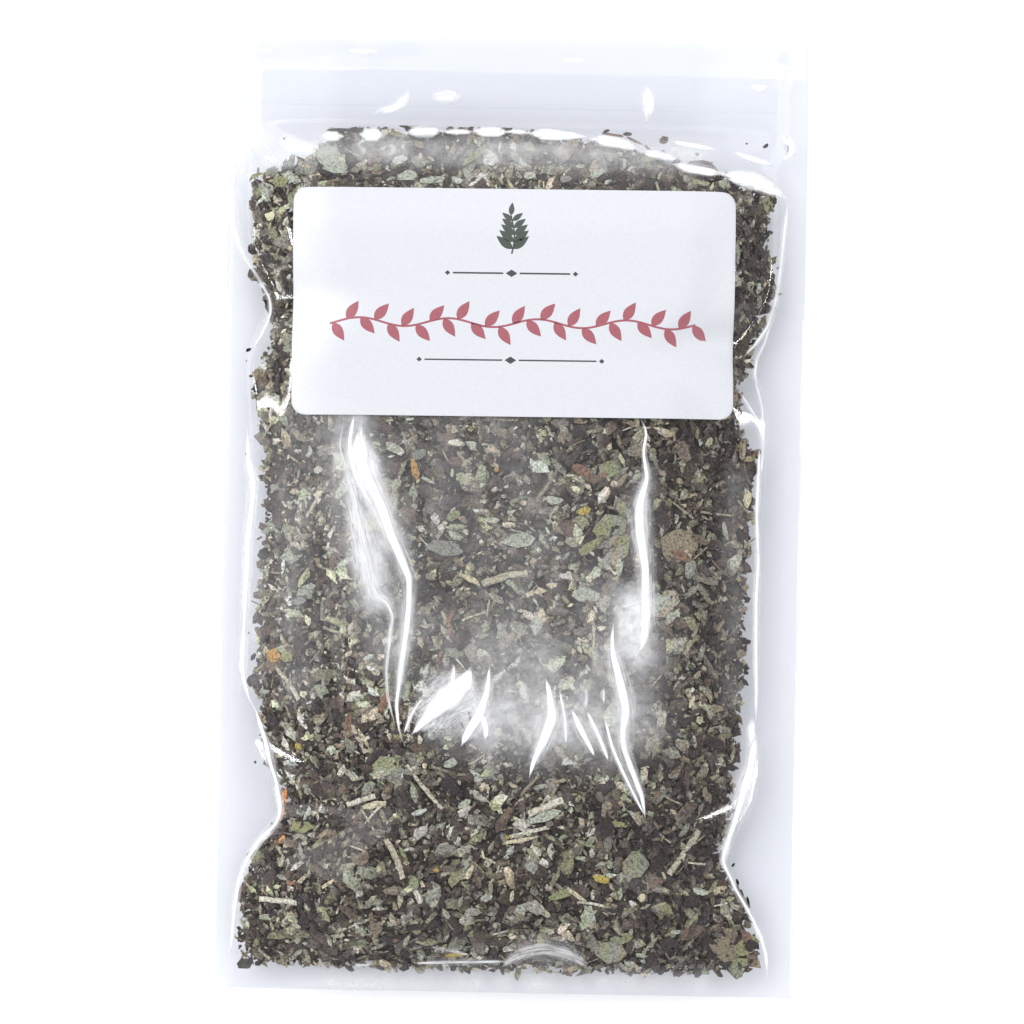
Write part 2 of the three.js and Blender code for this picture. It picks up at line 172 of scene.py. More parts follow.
def frontInside(x, y):
    belly = pouch["frontDepth"] * fullness(x, y) * (1.0 - pinchValley(x, y))
    return sealPlane(y) + pouch["halfWeld"] + zipGap(x, y) + belly + filmRelief(x, y) + headerRelief(x, y)


def backInside(x, y):
    belly = pouch["backDepth"] * fullness(x, y, pouch["backShare"])
    return np.maximum(sealPlane(y) - pouch["halfWeld"] - np.maximum(belly, zipGap(x, y)), filmThickness)


# helpers that make plain meshes

def meshObject(name, points, faces, material, shadeSmooth=True):
    mesh = bpy.data.meshes.new(name)
    mesh.from_pydata((np.asarray(points, dtype=float) * metre).tolist(), [], faces)
    mesh.materials.append(material)
    mesh.polygons.foreach_set("use_smooth", [shadeSmooth] * len(mesh.polygons))
    mesh.update()
    piece = bpy.data.objects.new(name, mesh)
    scene.collection.objects.link(piece)
    return piece


def gridFaces(rows, columns, start=0, flip=False):
    at = start + np.arange(rows * columns).reshape(rows, columns)
    quads = np.stack([at[:-1, :-1], at[:-1, 1:], at[1:, 1:], at[1:, :-1]], axis=-1).reshape(-1, 4)
    return (quads[:, ::-1] if flip else quads).tolist()


def closedSheet(x, y, upper, lower):  # a closed body between two height grids
    rows, columns = x.shape
    count = rows * columns
    points = np.concatenate([
        np.stack([x, y, upper], axis=-1).reshape(-1, 3), np.stack([x, y, lower], axis=-1).reshape(-1, 3),
    ])
    faces = gridFaces(rows, columns) + gridFaces(rows, columns, count, True)
    at = np.arange(count).reshape(rows, columns)
    rim = [*at[0, :], *at[1:, -1], *at[-1, -2::-1], *at[-2:0:-1, 0]]
    faces += [[int(a), int(a + count), int(b + count), int(b)] for a, b in zip(rim, rim[1:] + rim[:1])]
    return points, faces


def tubeFaces(start, rings, sides, flip=False):  # joins ring after ring and closes both ends
    faces = []
    for k in range(rings - 1):
        a, b = start + k * sides, start + (k + 1) * sides
        for m in range(sides):
            n = (m + 1) % sides
            faces.append([a + m, b + m, b + n, a + n] if flip else [a + m, a + n, b + n, b + m])
    first = [start + m for m in range(sides)]
    last = [start + (rings - 1) * sides + m for m in range(sides)]
    return faces + ([first, last[::-1]] if flip else [first[::-1], last])


def finish(piece, slot, *nodes):
    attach(piece, "root")
    if nodes:
        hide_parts(*nodes)
    print(piece.name, sum(len(p.vertices) - 2 for p in piece.data.polygons), "triangles")
    return piece


# materials

class Paint:  # a material under construction
    def __init__(self, name):
        self.material = bpy.data.materials.new(name)
        self.material.use_nodes = True
        self.tree = self.material.node_tree
        self.tree.nodes.clear()
        self.out = self.tree.nodes.new("ShaderNodeOutputMaterial")
        self.place = self.tree.nodes.new("ShaderNodeTexCoord").outputs["Object"]

    def add(self, kind, inputs=None, **settings):
        node = self.tree.nodes.new(kind)
        for key, value in settings.items():
            setattr(node, key, value)
        for key, value in (inputs or {}).items():
            socket = node.inputs[key]
            if isinstance(value, bpy.types.NodeSocket):
                self.tree.links.new(value, socket)
            else:
                socket.default_value = value
        return node

    def attribute(self, name):
        return self.add("ShaderNodeAttribute", attribute_name=name)

    def noise(self, scale, detail=2.0, roughness=0.5, place=None):
        made = self.add("ShaderNodeTexNoise", {
            "Vector": place or self.place, "Scale": scale, "Detail": detail, "Roughness": roughness,
        })
        return made.outputs["Fac"]

    def cells(self, scale):
        made = self.add("ShaderNodeTexVoronoi", {"Vector": self.place, "Scale": scale})
        return made.outputs["Distance"]

    def maths(self, operation, a, b=0.0, clamp=False):
        return self.add("ShaderNodeMath", {0: a, 1: b}, operation=operation, use_clamp=clamp).outputs[0]

    def span(self, value, low, high, toLow=0.0, toHigh=1.0):
        made = self.add("ShaderNodeMapRange", {"Value": value, "From Min": low, "From Max": high,
                                               "To Min": toLow, "To Max": toHigh})
        return made.outputs["Result"]

    def ramp(self, value, stops):
        made = self.add("ShaderNodeValToRGB", {"Fac": value})
        elements = made.color_ramp.elements
        while len(elements) < len(stops):
            elements.new(0.5)
        for element, (position, colour) in zip(elements, stops):
            element.position, element.color = position, (*colour, 1.0)
        return made.outputs["Color"]

    def blend(self, share, a, b, mode="MIX"):
        made = self.add("ShaderNodeMix", data_type="RGBA", blend_type=mode)
        for socket, value in ((made.inputs[0], share), (made.inputs[6], a), (made.inputs[7], b)):
            if isinstance(value, bpy.types.NodeSocket):
                self.tree.links.new(value, socket)
            else:
                socket.default_value = value
        return made.outputs[2]

    def bump(self, height, distance, strength=1.0):
        made = self.add("ShaderNodeBump", {"Height": height, "Strength": strength, "Distance": distance})
        return made.outputs["Normal"]

    def solid(self, colour, roughness, normal=None, sheen=0.0):
        inputs = {"Base Color": colour, "Roughness": roughness, "Sheen Weight": sheen}
        if normal is not None:
            inputs["Normal"] = normal
        made = self.add("ShaderNodeBsdfPrincipled", inputs)
        return made.outputs[0]

    def done(self, shader):
        self.tree.links.new(shader, self.out.inputs["Surface"])
        return self.material


def rgb(code):  # a colour as picked on screen, made linear
    parts = [int(code[k:k + 2], 16) / 255 for k in (0, 2, 4)]
    return tuple(c / 12.92 if c <= 0.04045 else ((c + 0.055) / 1.055) ** 2.4 for c in parts)


clearFilm = dict(tint=(0.962, 0.966, 0.977), ior=1.42, gloss=0.07, haze=0.0)


def goingIn(paint):
    return paint.maths("SUBTRACT", 1.0, paint.add("ShaderNodeNewGeometry").outputs["Backfacing"])


def filmSkin(paint, s):  # clear, reflecting once where a look goes in and not again where it comes out
    clear = paint.add("ShaderNodeBsdfTransparent", {"Color": (*s["tint"], 1.0)}).outputs[0]
    shine = paint.add("ShaderNodeBsdfGlossy", {"Color": (1.0, 1.0, 1.0, 1.0), "Roughness": s["gloss"]})
    edge = paint.add("ShaderNodeFresnel", {"IOR": s["ior"]}).outputs[0]
    edge = paint.maths("MULTIPLY", edge, goingIn(paint))
    return paint.add("ShaderNodeMixShader", {0: edge, 1: clear, 2: shine.outputs[0]}).outputs[0]


# the white of the film's haze and of the painted reflections and highlights
hazeAndSheenWhite = (0.93, 0.935, 0.955, 1.0)
leastHazeAndSheen = 0.006  # less than this is left out, as clear film renders faster


# lays that white over a skin: haze, painted reflections and highlights, and painted light over shaded
# margins
def hazeAndSheenOver(paint, skin, share):
    hazeAndSheen = paint.add("ShaderNodeBsdfDiffuse", {"Color": hazeAndSheenWhite}).outputs[0]
    both = paint.maths("MULTIPLY", share, paint.maths("SUBTRACT", 2.0, share))  # both faces' worth at once
    share = paint.maths("SUBTRACT", paint.maths("MULTIPLY", both, goingIn(paint)), leastHazeAndSheen, True)
    return paint.done(paint.add("ShaderNodeMixShader", {0: share, 1: skin, 2: hazeAndSheen}).outputs[0])


def makeFilmMaterial(name, settings):  # cloudy where the attribute says so: haze, painted reflections and highlights, and painted light over shaded margins
    paint = Paint(name)
    mottle = paint.span(paint.noise(420.0, 2.0, 0.7), 0.35, 0.65, 0.75, 1.25)
    hazeAndSheen = paint.maths("MULTIPLY", paint.attribute("hazeAndSheen").outputs["Fac"], mottle)
    share = paint.maths("ADD", hazeAndSheen, settings["haze"], True)
    return hazeAndSheenOver(paint, filmSkin(paint, settings), share)


def makeCreaseMaterial(name, soft):  # painted highlights: fine bright lines that run along each crease
    paint = Paint(name)
    spot = paint.add("ShaderNodeSeparateXYZ", {0: paint.attribute("crease").outputs["Vector"]}).outputs
    sideways = paint.maths("MULTIPLY", paint.maths("MULTIPLY", spot[0], spot[2]), 2.3)
    onward = paint.maths("MULTIPLY", spot[1], 0.16)
    stretched = paint.add("ShaderNodeCombineXYZ", {0: sideways, 1: onward, 2: spot[2]}).outputs[0]
    lines = paint.span(paint.noise(1.0, 2.0, 0.7, stretched), 0.38, 0.62, 0.1, 1.0)
    highlight = paint.attribute("highlight").outputs["Fac"]
    rim = paint.maths("MULTIPLY", spot[0], spot[0])
    solid = paint.maths("ADD", lines, paint.maths("MULTIPLY", highlight, 0.7))
    edge = paint.maths("POWER", paint.maths("SUBTRACT", 1.0, rim, True), soft)
    share = paint.maths("MULTIPLY", edge, paint.maths("MULTIPLY", highlight, solid))
    clear = paint.add("ShaderNodeBsdfTransparent").outputs[0]
    return hazeAndSheenOver(paint, clear, paint.maths("MINIMUM", share, 0.97))


def makeLeafMaterial(name, stops, grain=1.0, patchy=0.13, hues=True):
    paint = Paint(name)
    tint = paint.attribute("tint").outputs["Fac"]
    patch = paint.span(paint.noise(900.0, 2.0, 0.7), 0.25, 0.75, -patchy, patchy)
    region = paint.span(paint.noise(130.0, 1.0), 0.35, 0.65, -patchy, patchy)
    colour = paint.ramp(paint.maths("ADD", tint, paint.maths("ADD", patch, region), True), stops)
    if hues:  # the same lightness comes brown, grey, green or yellowish
        other = paint.maths("FRACT", paint.maths("MULTIPLY", tint, 13.7))
        colour = paint.blend(1.0, colour, paint.ramp(other, hueStops), "MULTIPLY")
    pebble = paint.maths("SUBTRACT", 1.0, paint.cells(1900.0), True)
    fleck = paint.noise(2100.0, 2.0, 0.8)
    shade = paint.span(paint.maths("ADD", pebble, fleck), 0.52, 1.2, 0.45, 1.45)
    value = paint.add("ShaderNodeHueSaturation", {"Value": shade, "Color": colour}).outputs[0]
    lumps = paint.maths("ADD", paint.maths("MULTIPLY", pebble, 0.7), fleck)
    return paint.done(paint.solid(value, 0.85, paint.bump(lumps, 0.0004 * grain), 0.1))


hueStops = (
    (0.0, (1.18, 0.95, 0.8)), (0.17, (1.06, 0.98, 0.92)), (0.34, (0.99, 1.0, 1.03)),
    (0.52, (0.96, 1.0, 0.84)), (0.68, (1.03, 1.01, 0.7)), (0.84, (1.04, 0.95, 1.02)),
    (1.0, (1.2, 0.97, 0.74)),
)
leafStops = (
    (0.0, rgb("2e2627")), (0.14, rgb("403735")), (0.3, rgb("554b46")), (0.46, rgb("686058")),
    (0.6, rgb("7e7a6e")), (0.73, rgb("939282")), (0.85, rgb("abad9d")), (0.95, rgb("c2c4b5")),
    (1.0, rgb("dadbd0")),
)
gritStops = (
    (0.0, rgb("352c29")), (0.35, rgb("52473f")), (0.65, rgb("706759")), (0.88, rgb("8f8b7a")),
    (1.0, rgb("abaa99")),
)
paleStops = (
    (0.0, rgb("7f8072")), (0.3, rgb("999b8b")), (0.6, rgb("b0b2a4")), (0.8, rgb("c2c3b6")),
    (1.0, rgb("d8d8ce")),
)
# darker tones for the herb's core: painted shade in the depths between the flakes
coreShadeStops = ((0.0, rgb("332c29")), (0.5, rgb("51473f")), (1.0, rgb("71675b")))
strawStops = (
    (0.0, rgb("7d725f")), (0.3, rgb("9b917b")), (0.6, rgb("b3aa93")), (0.8, rgb("c6bfab")),
    (1.0, rgb("d8d3c3")),
)
bitStops = (
    (0.0, rgb("383235")), (0.12, rgb("85857a")), (0.24, rgb("6d5a4c")), (0.36, rgb("7e6150")),
    (0.5, rgb("eb9a55")), (0.6, rgb("ad8850")), (0.7, rgb("b59f4a")), (0.8, rgb("848763")),
    (0.9, rgb("a9ad9c")), (1.0, rgb("c9bd9c")),
)

filmMaterial = makeFilmMaterial("clearFilm", clearFilm)
# painted highlights along the creases, and painted flares and glow beside them
creaseHighlightMaterial = makeCreaseMaterial("creaseHighlights", 1.3)
flareMaterial = makeCreaseMaterial("filmFlares", 2.6)
zipPlastic = dict(tint=(1.0, 1.0, 1.0), ior=1.1, gloss=0.1, haze=0.03)
zipMaterial = makeFilmMaterial("zipPlastic", zipPlastic)
leafMaterial = makeLeafMaterial("cutSage", leafStops)
paleMaterial = makeLeafMaterial("paleSage", paleStops)
gritMaterial = makeLeafMaterial("sageGrit", gritStops)
# the core's material, darker as painted shade
coreShadeMaterial = makeLeafMaterial("sageDustAndShade", coreShadeStops, 2.0)
strawMaterial = makeLeafMaterial("sageStalk", strawStops, 0.6, 0.08, False)
bitMaterial = makeLeafMaterial("strayBits", bitStops, 0.8, 0.015, False)
print("materials made")


# the film: front and back panels

filmGrid = dict(front=1.0, back=1.6)


hazeAndSheenPlaces = (  # x, y to x, y, half width, how strong; film haze with painted reflections, and painted light over the shaded bottom margin
    (-5, -42, 22, -42, 7.5, 0.3), (-12, -29, 27, -29, 7.1, 0.07), (-34, 14, -24, -27, 5.8, 0.14),
    (-9, 6, 6, -18, 22.8, 0.06), (-32, 17, -30, 8, 3.1, 0.26), (-29, 6, -24, -7, 2.5, 0.22),
    (-29, -11, -28, -19, 2.9, 0.26), (-22, -13, -22, -38, 1.7, 0.1), (-58, 79, -54, 75, 2.5, 0.25),
    (-48, 75, -44, 74, 1.5, 0.3), (-52, 72, -48, 71, 1.7, 0.2), (-58, 74, -57, 69, 1.5, 0.2),
    (46, 7, 46, -38, 2.5, 0.05), (-53, 18, -52, -36, 1.9, 0.05), (-39, 74, 36, 74, 3.5, 0.2),
    (51, -48, 48, -63, 1.7, 0.12), (-57, 51, -56, 36, 1.7, 0.06), (-51, -50, -49, -64, 1.7, 0.08),
    (-46, 16, -43, -36, 5.0, 0.07), (27, 7, 27, -10, 2.1, 0.1), (25, -19, 25, -28, 3.7, 0.55),
    (-42, -99, 41, -97, 2.3, 0.14),
)


# how much haze and painted reflection each place of the front film carries
def hazeAndSheenAt(x, y):
    streaks = 0.35 + 0.65 * np.abs(waves(x * 3.0, y * 0.05, 2.0, 22))
    total = 0.05 * smooth((np.abs(x) - 55.8) / 0.8) * streaks  # haze and painted sheen along both side seals
    for x1, y1, x2, y2, half, share in hazeAndSheenPlaces:
        along, up = x2 - x1, y2 - y1
        t = np.clip(((x - x1) * along + (y - y1) * up) / max(along**2 + up**2, 1e-6), 0.0, 1.0)
        away = np.hypot(x - x1 - t * along, y - y1 - t * up)
        total = total + share * np.exp(-((away / half) ** 2))
    return np.clip(total * (0.8 + 0.4 * waves(x, y * 0.4, 3.0, 21)), 0.0, 0.9)


def addValues(piece, name, values, kind="FLOAT"):
    made = piece.data.attributes.new(name, kind, "POINT")
    made.data.foreach_set("value" if kind == "FLOAT" else "vector", np.asarray(values, dtype=float).ravel())


def filmPanel(name, height, outward, step):
    columns, rows = int(pouch["width"] / step) + 1, int(pouch["length"] / step) + 1
    x = np.linspace(-pouch["width"] / 2, pouch["width"] / 2, columns)
    y = np.linspace(-pouch["length"] / 2, pouch["length"] / 2, rows)
    x, y = np.meshgrid(x, y)
    inner = height(x, y)
    outer = inner + outward * filmThickness
    points, faces = closedSheet(x, y, np.maximum(inner, outer), np.minimum(inner, outer))
    piece = meshObject(name, points, faces, filmMaterial)
    if outward > 0:
        # the front film's haze, painted reflections and painted light go in this attribute
        addValues(piece, "hazeAndSheen", np.tile(hazeAndSheenAt(x, y).ravel(), 2))
    return piece


finish(filmPanel("filmFront", frontInside, 1, filmGrid["front"]), "film", "pouch")
finish(filmPanel("filmBack", backInside, -1, filmGrid["back"]), "film", "pouch")


# creases that stand up in the front film, carrying painted highlights: x, y and half width

creases = dict(slope=0.3, tallest=0.3, least=0.02, thinnest=0.06, clear=0.03, step=0.7)
creaseLines = (  # how bright the painted highlight is, then x, y and half width along the crease
    (0.95, [(-31.0, 18.9, 1.04), (-31.3, 14.1, 1.45), (-31.3, 11.0, 2.07), (-30.6, 8.7, 1.45),
        (-29.3, 5.8, 1.04), (-26.6, 0.3, 1.14), (-24.7, -5.3, 1.04), (-22.3, -10.4, 0.93),
        (-20.6, -14.4, 0.66), (-20.6, -19.5, 0.58), (-21.0, -24.7, 0.62), (-21.7, -30.4, 0.54),
        (-22.3, -35.6, 0.41), (-22.8, -40.1, 0.33), (-22.3, -44.7, 0.41), (-21.4, -47.8, 0.62)]),
    (0.90, [(-32.6, 19.0, 0.31), (-33.4, 14.0, 0.41), (-33.3, 10.7, 0.52), (-31.6, 5.8, 0.31),
        (-28.5, 0.2, 0.25)]),
    (0.45, [(-34.6, 18.4, 0.21), (-35.6, 12.5, 0.31), (-33.9, 7.0, 0.41), (-32.1, 1.4, 0.62),
        (-31.1, -4.4, 1.04), (-29.5, -10.6, 1.24), (-28.6, -14.9, 1.87), (-27.8, -17.8, 1.66),
        (-25.1, -19.0, 0.83), (-23.9, -21.9, 0.52), (-24.5, -27.5, 0.41), (-25.0, -33.3, 0.33),
        (-24.7, -38.3, 0.33), (-23.5, -42.8, 0.27), (-22.5, -45.7, 0.25)]),
    (1.00, [(-19.8, -46.5, 0.21), (-17.3, -43.8, 0.93), (-14.7, -40.8, 2.07), (-12.0, -38.5, 2.90),
        (-9.8, -36.2, 2.28), (-8.4, -34.0, 1.04), (-7.6, -32.0, 0.31)]),
    (0.90, [(-11.6, -37.0, 0.41), (-11.2, -33.7, 0.41), (-11.2, -31.8, 0.17)]),
    (0.90, [(-8.3, -37.4, 0.62), (-7.7, -34.5, 0.41), (-7.7, -32.6, 0.17)]),
    (0.80, [(-21.1, -45.9, 0.21), (-19.8, -42.4, 0.27), (-18.6, -40.3, 0.27), (-17.4, -38.6, 0.17)]),
    (1.00, [(-9.5, -48.6, 0.31), (-7.7, -45.2, 1.04), (-5.7, -41.9, 1.14), (-4.2, -36.9, 0.58),
        (-3.9, -31.7, 0.17)]),
    (0.90, [(-5.3, -41.9, 0.62), (-4.2, -44.8, 0.66), (-4.4, -47.0, 0.41)]),
    (1.00, [(4.6, -54.8, 0.21), (5.6, -51.0, 0.50), (7.6, -46.8, 1.04), (9.2, -42.2, 1.14),
        (8.6, -37.7, 0.62), (7.6, -33.7, 0.19)]),
    (0.90, [(10.6, -37.0, 0.17), (11.8, -42.2, 0.31), (12.1, -47.6, 0.21)]),
    (1.00, [(13.1, -40.5, 0.25), (15.0, -44.4, 0.71), (18.0, -49.9, 0.29)]),
    (1.00, [(16.2, -40.8, 0.25), (18.4, -45.0, 0.46), (20.8, -50.7, 0.29)]),
    (0.50, [(15.9, -35.7, 0.21), (16.2, -38.4, 0.27), (16.0, -40.2, 0.21)]),
    (0.50, [(19.6, -35.6, 0.21), (19.7, -39.3, 0.25)]),
    (0.90, [(19.8, -41.8, 0.21), (21.6, -48.3, 0.31), (24.8, -55.0, 0.29), (28.5, -62.0, 0.21)]),
    (0.95, [(25.7, 20.1, 0.31), (27.4, 16.7, 0.33), (26.8, 12.7, 0.25), (27.7, 7.0, 0.41),
        (26.6, 3.6, 0.71), (26.1, 0.7, 1.04), (26.5, -4.9, 1.04), (27.6, -10.7, 0.83), (27.8, -16.3, 0.95),
        (28.0, -20.5, 1.04), (27.8, -25.1, 0.83), (27.4, -27.5, 0.83), (26.0, -29.4, 0.62)]),
    (0.90, [(21.3, -21.9, 0.31), (21.1, -26.4, 0.41), (21.5, -29.7, 0.62), (22.3, -32.2, 0.83),
        (23.3, -36.3, 1.04), (24.3, -40.9, 1.04), (23.6, -44.9, 0.62), (23.9, -48.4, 0.62),
        (25.9, -53.3, 0.52), (27.8, -57.8, 0.52), (28.7, -63.0, 0.25)]),
    (0.50, [(27.0, -17.6, 0.25), (25.4, -18.7, 0.33), (22.7, -19.5, 0.33)]),
    (0.50, [(-58.5, 70.4, 0.41), (-59.2, 65.4, 0.52), (-58.7, 57.2, 0.73), (-56.5, 51.8, 0.41),
        (-54.0, 48.1, 0.31), (-51.0, 43.2, 0.31), (-50.7, 39.9, 0.41), (-52.5, 35.7, 0.41),
        (-54.5, 31.9, 0.41)]),
    (0.65, [(-55.2, 17.8, 0.31), (-54.7, 9.5, 0.62), (-53.7, 4.1, 0.83), (-53.7, 1.2, 0.62),
        (-54.6, -7.1, 0.73), (-54.8, -15.4, 0.62), (-55.1, -23.7, 0.52), (-55.3, -34.1, 0.62),
        (-53.9, -39.5, 0.41), (-52.2, -42.8, 0.31)]),
    (0.95, [(-53.1, -40.3, 0.17), (-51.8, -43.2, 0.41), (-50.0, -48.5, 0.46), (-49.1, -52.7, 0.50),
        (-47.8, -56.8, 0.46), (-46.7, -62.2, 0.41), (-47.0, -64.7, 0.33), (-48.0, -66.4, 0.33),
        (-51.3, -69.5, 0.50), (-53.5, -73.5, 0.37), (-55.1, -77.7, 0.33), (-55.8, -83.9, 0.37),
        (-56.3, -90.2, 0.31), (-57.0, -94.3, 0.25)]),
    (0.55, [(56.1, 65.6, 0.31), (55.6, 60.2, 0.41), (54.8, 51.0, 0.33), (54.0, 44.8, 0.41),
        (52.5, 39.4, 0.37), (49.9, 35.4, 0.31), (46.8, 32.0, 0.21)]),
    (0.50, [(53.3, 41.0, 0.21), (51.9, 36.0, 0.25), (50.3, 32.7, 0.25), (49.8, 28.9, 0.29),
        (50.7, 25.6, 0.25), (51.6, 21.9, 0.21), (51.9, 13.6, 0.25), (51.4, 7.4, 0.29)]),
    (0.50, [(46.5, 25.5, 0.21), (48.4, 22.9, 0.29), (50.6, 19.8, 0.21), (51.7, 16.5, 0.17)]),
    (0.75, [(51.1, 15.7, 0.25), (50.9, 5.3, 0.37), (50.8, -0.9, 0.29), (51.4, -9.2, 0.37),
        (51.1, -17.5, 0.41), (51.2, -25.8, 0.41), (51.4, -34.1, 0.33), (51.5, -44.5, 0.37)]),
    (1.00, [(51.5, -44.1, 0.31), (51.2, -47.0, 0.93), (50.5, -51.8, 0.75), (49.5, -56.0, 1.04),
        (48.2, -60.8, 0.75), (46.8, -65.8, 0.62), (45.5, -70.0, 0.50), (45.1, -71.8, 0.29),
        (46.6, -74.9, 0.25), (48.1, -77.8, 0.27), (51.1, -82.7, 0.25), (53.3, -87.2, 0.31),
        (54.6, -91.4, 0.37), (54.9, -96.4, 0.29)]),
    (0.45, [(-30.9, -94.9, 0.21), (-29.0, -94.6, 0.37), (-26.9, -94.4, 0.21)]),
    (0.45, [(-18.8, -94.0, 0.21), (-13.0, -93.7, 0.41), (0.9, -93.2, 0.33)]),
    (0.36, [(-0.2, -94.7, 0.62), (1.9, -92.4, 1.04), (4.8, -90.9, 1.45), (8.7, -90.2, 1.66),
        (13.1, -91.1, 1.45), (16.0, -92.7, 1.04), (17.9, -94.4, 0.62)]),
    (0.30, [(-15.2, -90.2, 0.21), (-10.6, -91.0, 0.41), (-6.8, -91.9, 0.21)]),
)
# painted highlights lying almost flat on the film, mostly along the zip: how bright, then x, y and half
# width
flareLines = (
    (0.86, [(-41.0, 76.6, 0.83), (-39.1, 76.6, 1.14), (-37.7, 76.7, 1.14), (-36.0, 76.7, 0.83)]),
    (0.86, [(-33.1, 77.2, 1.04), (-31.7, 77.2, 1.45), (-29.2, 77.2, 1.45), (-27.5, 77.1, 1.04)]),
    (0.86, [(-23.8, 77.7, 0.83), (-21.3, 78.0, 1.24), (-18.4, 78.1, 1.24), (-15.5, 78.3, 0.83)]),
    (0.70, [(-16.3, 78.1, 0.52), (-13.2, 78.2, 0.62), (-9.1, 78.2, 0.62)]),
    (0.86, [(-10.1, 78.4, 0.73), (-7.6, 78.3, 1.04), (-4.7, 78.3, 1.14), (-1.8, 78.4, 0.73)]),
    (0.70, [(-2.9, 78.4, 0.41), (-0.2, 78.4, 0.54), (2.3, 78.2, 0.52)]),
    (0.86, [(1.1, 78.2, 0.73), (4.0, 78.1, 1.24), (7.1, 77.9, 1.24), (10.2, 77.8, 0.93),
        (14.8, 77.7, 0.73)]),
    (0.86, [(14.0, 77.2, 0.73), (16.9, 76.9, 1.24), (19.8, 76.5, 1.24), (22.5, 75.9, 1.04),
        (25.7, 74.8, 0.62)]),
    (0.82, [(24.8, 74.5, 0.62), (27.3, 74.2, 0.93), (30.2, 73.8, 0.93), (33.2, 73.0, 0.62)]),
    (0.86, [(31.1, 72.2, 0.62), (34.4, 71.4, 1.04), (38.6, 70.9, 1.14), (42.8, 70.3, 1.04)]),
    (0.86, [(40.3, 70.7, 0.83), (43.6, 69.9, 1.24), (47.1, 69.4, 1.76), (49.8, 68.8, 1.76),
        (52.4, 67.8, 1.35), (54.5, 66.8, 0.93), (56.8, 65.2, 0.52)]),
    (0.80, [(43.9, 75.1, 0.41), (48.5, 73.7, 0.58), (53.3, 72.6, 0.41)]),
    (0.70, [(30.2, 77.1, 0.41), (35.8, 76.2, 0.58), (41.6, 75.3, 0.41)]),
    (0.70, [(54.0, 79.2, 0.73), (56.3, 77.4, 1.24), (56.2, 75.1, 1.24), (54.9, 73.4, 0.73)]),
    (0.60, [(26.2, 89.1, 0.62), (26.9, 84.9, 1.45), (26.4, 81.0, 0.62)]),
    (0.50, [(-23.0, 87.7, 0.62), (-23.3, 85.0, 1.04), (-25.6, 83.1, 1.04), (-30.7, 81.8, 0.62)]),
    (0.45, [(-18.8, 85.5, 0.83), (-15.2, 85.6, 1.66), (-11.7, 85.7, 0.83)]),
    (0.55, [(-36.2, 94.8, 0.33), (-32.6, 94.9, 0.58), (-29.1, 95.0, 0.33)]),
    (0.50, [(-56.7, 94.6, 0.33), (-53.8, 94.6, 0.54), (-50.9, 94.7, 0.33)]),
    (0.55, [(8.1, 93.7, 0.33), (11.0, 93.8, 0.54), (13.7, 93.8, 0.33)]),
    (0.60, [(45.1, 90.9, 0.33), (50.9, 91.0, 0.54), (56.9, 91.1, 0.33)]),
    (0.60, [(47.6, 88.6, 0.41), (49.7, 88.6, 0.83), (51.7, 88.6, 0.41)]),
    (0.60, [(51.9, 92.9, 0.33), (54.6, 93.2, 0.62), (57.1, 93.0, 0.33)]),
    (0.40, [(-35.0, 14.0, 1.04), (-33.2, 5.7, 1.66), (-31.9, -0.5, 2.49), (-30.0, -8.7, 3.53),
        (-28.4, -16.0, 3.94), (-26.1, -19.9, 2.07)]),
    (0.45, [(-31.4, 17.2, 1.66), (-30.8, 11.0, 3.32), (-28.6, 3.8, 2.70), (-25.1, -4.5, 1.87),
        (-22.5, -10.7, 1.24)]),
    (0.35, [(-17.2, -48.3, 1.66), (-14.8, -44.1, 4.56), (-11.6, -40.8, 5.81), (-7.4, -39.4, 4.98),
        (-3.6, -42.5, 3.32)]),
)


def pathPoints(line, step):
    line = np.array(line)
    along = np.concatenate([[0.0], np.cumsum(np.hypot(*np.diff(line[:, :2], axis=0).T))])
    stops = np.linspace(0.0, along[-1], max(4, int(along[-1] / step)))
    bent = np.stack([np.interp(stops, along, line[:, k]) for k in range(line.shape[1])], axis=-1)
    for _ in range(2):  # rounds the corners off
        bent[1:-1] = 0.25 * bent[:-2] + 0.5 * bent[1:-1] + 0.25 * bent[2:]
    return bent, stops / along[-1]


def makeCreases(name, table, material, lift, taper, widen, strength=1.0):
    points, faces, places, highlights = [], [], [], []
    ring = ((-1.0, 0.0), (-0.5, 0.72), (0.0, 1.0), (0.5, 0.72), (1.0, 0.0), (0.0, -0.03))
    for number, (highlight, line) in enumerate(table):
        path, share = pathPoints(line, creases["step"])
        ends = smooth(share / taper) * smooth((1.0 - share) / taper)
        half = np.maximum(path[:, 2] * widen * (0.25 + 0.75 * ends), creases["thinnest"])
        tangent = np.gradient(path[:, :2], axis=0)
        tangent /= np.linalg.norm(tangent, axis=1)[:, None]
        side = np.stack([-tangent[:, 1], tangent[:, 0]], axis=-1)
        along = np.concatenate([[0.0], np.cumsum(np.hypot(*np.diff(path[:, :2], axis=0).T))])
        flicker = 1.0 + 0.2 * waves(along, along * 0.0 + number, 2.2, 30 + number)
        tall = np.minimum(creases["slope"] * half * flicker, creases["tallest"]) * highlight**2 * lift
        start = len(points)
        for k in range(len(path)):
            for across, up in ring:
                x, y = path[k, :2] + side[k] * across * half[k]
                thin = creases["least"] if up > 0 else 0.0
                points.append((x, y, tall[k] * up + creases["clear"] * lift + thin))
                places.append((across, along[k] + 40.0 * number, half[k]))
                highlights.append(strength * highlight * (0.12 + 0.88 * ends[k]))
        faces += tubeFaces(start, len(path), len(ring), True)
    points = np.array(points)
    points[:, 2] += frontInside(points[:, 0], points[:, 1]) + filmThickness + creases["clear"]
    piece = meshObject(name, points, faces, material)
    addValues(piece, "crease", places, "FLOAT_VECTOR")
    addValues(piece, "highlight", highlights)
    return piece


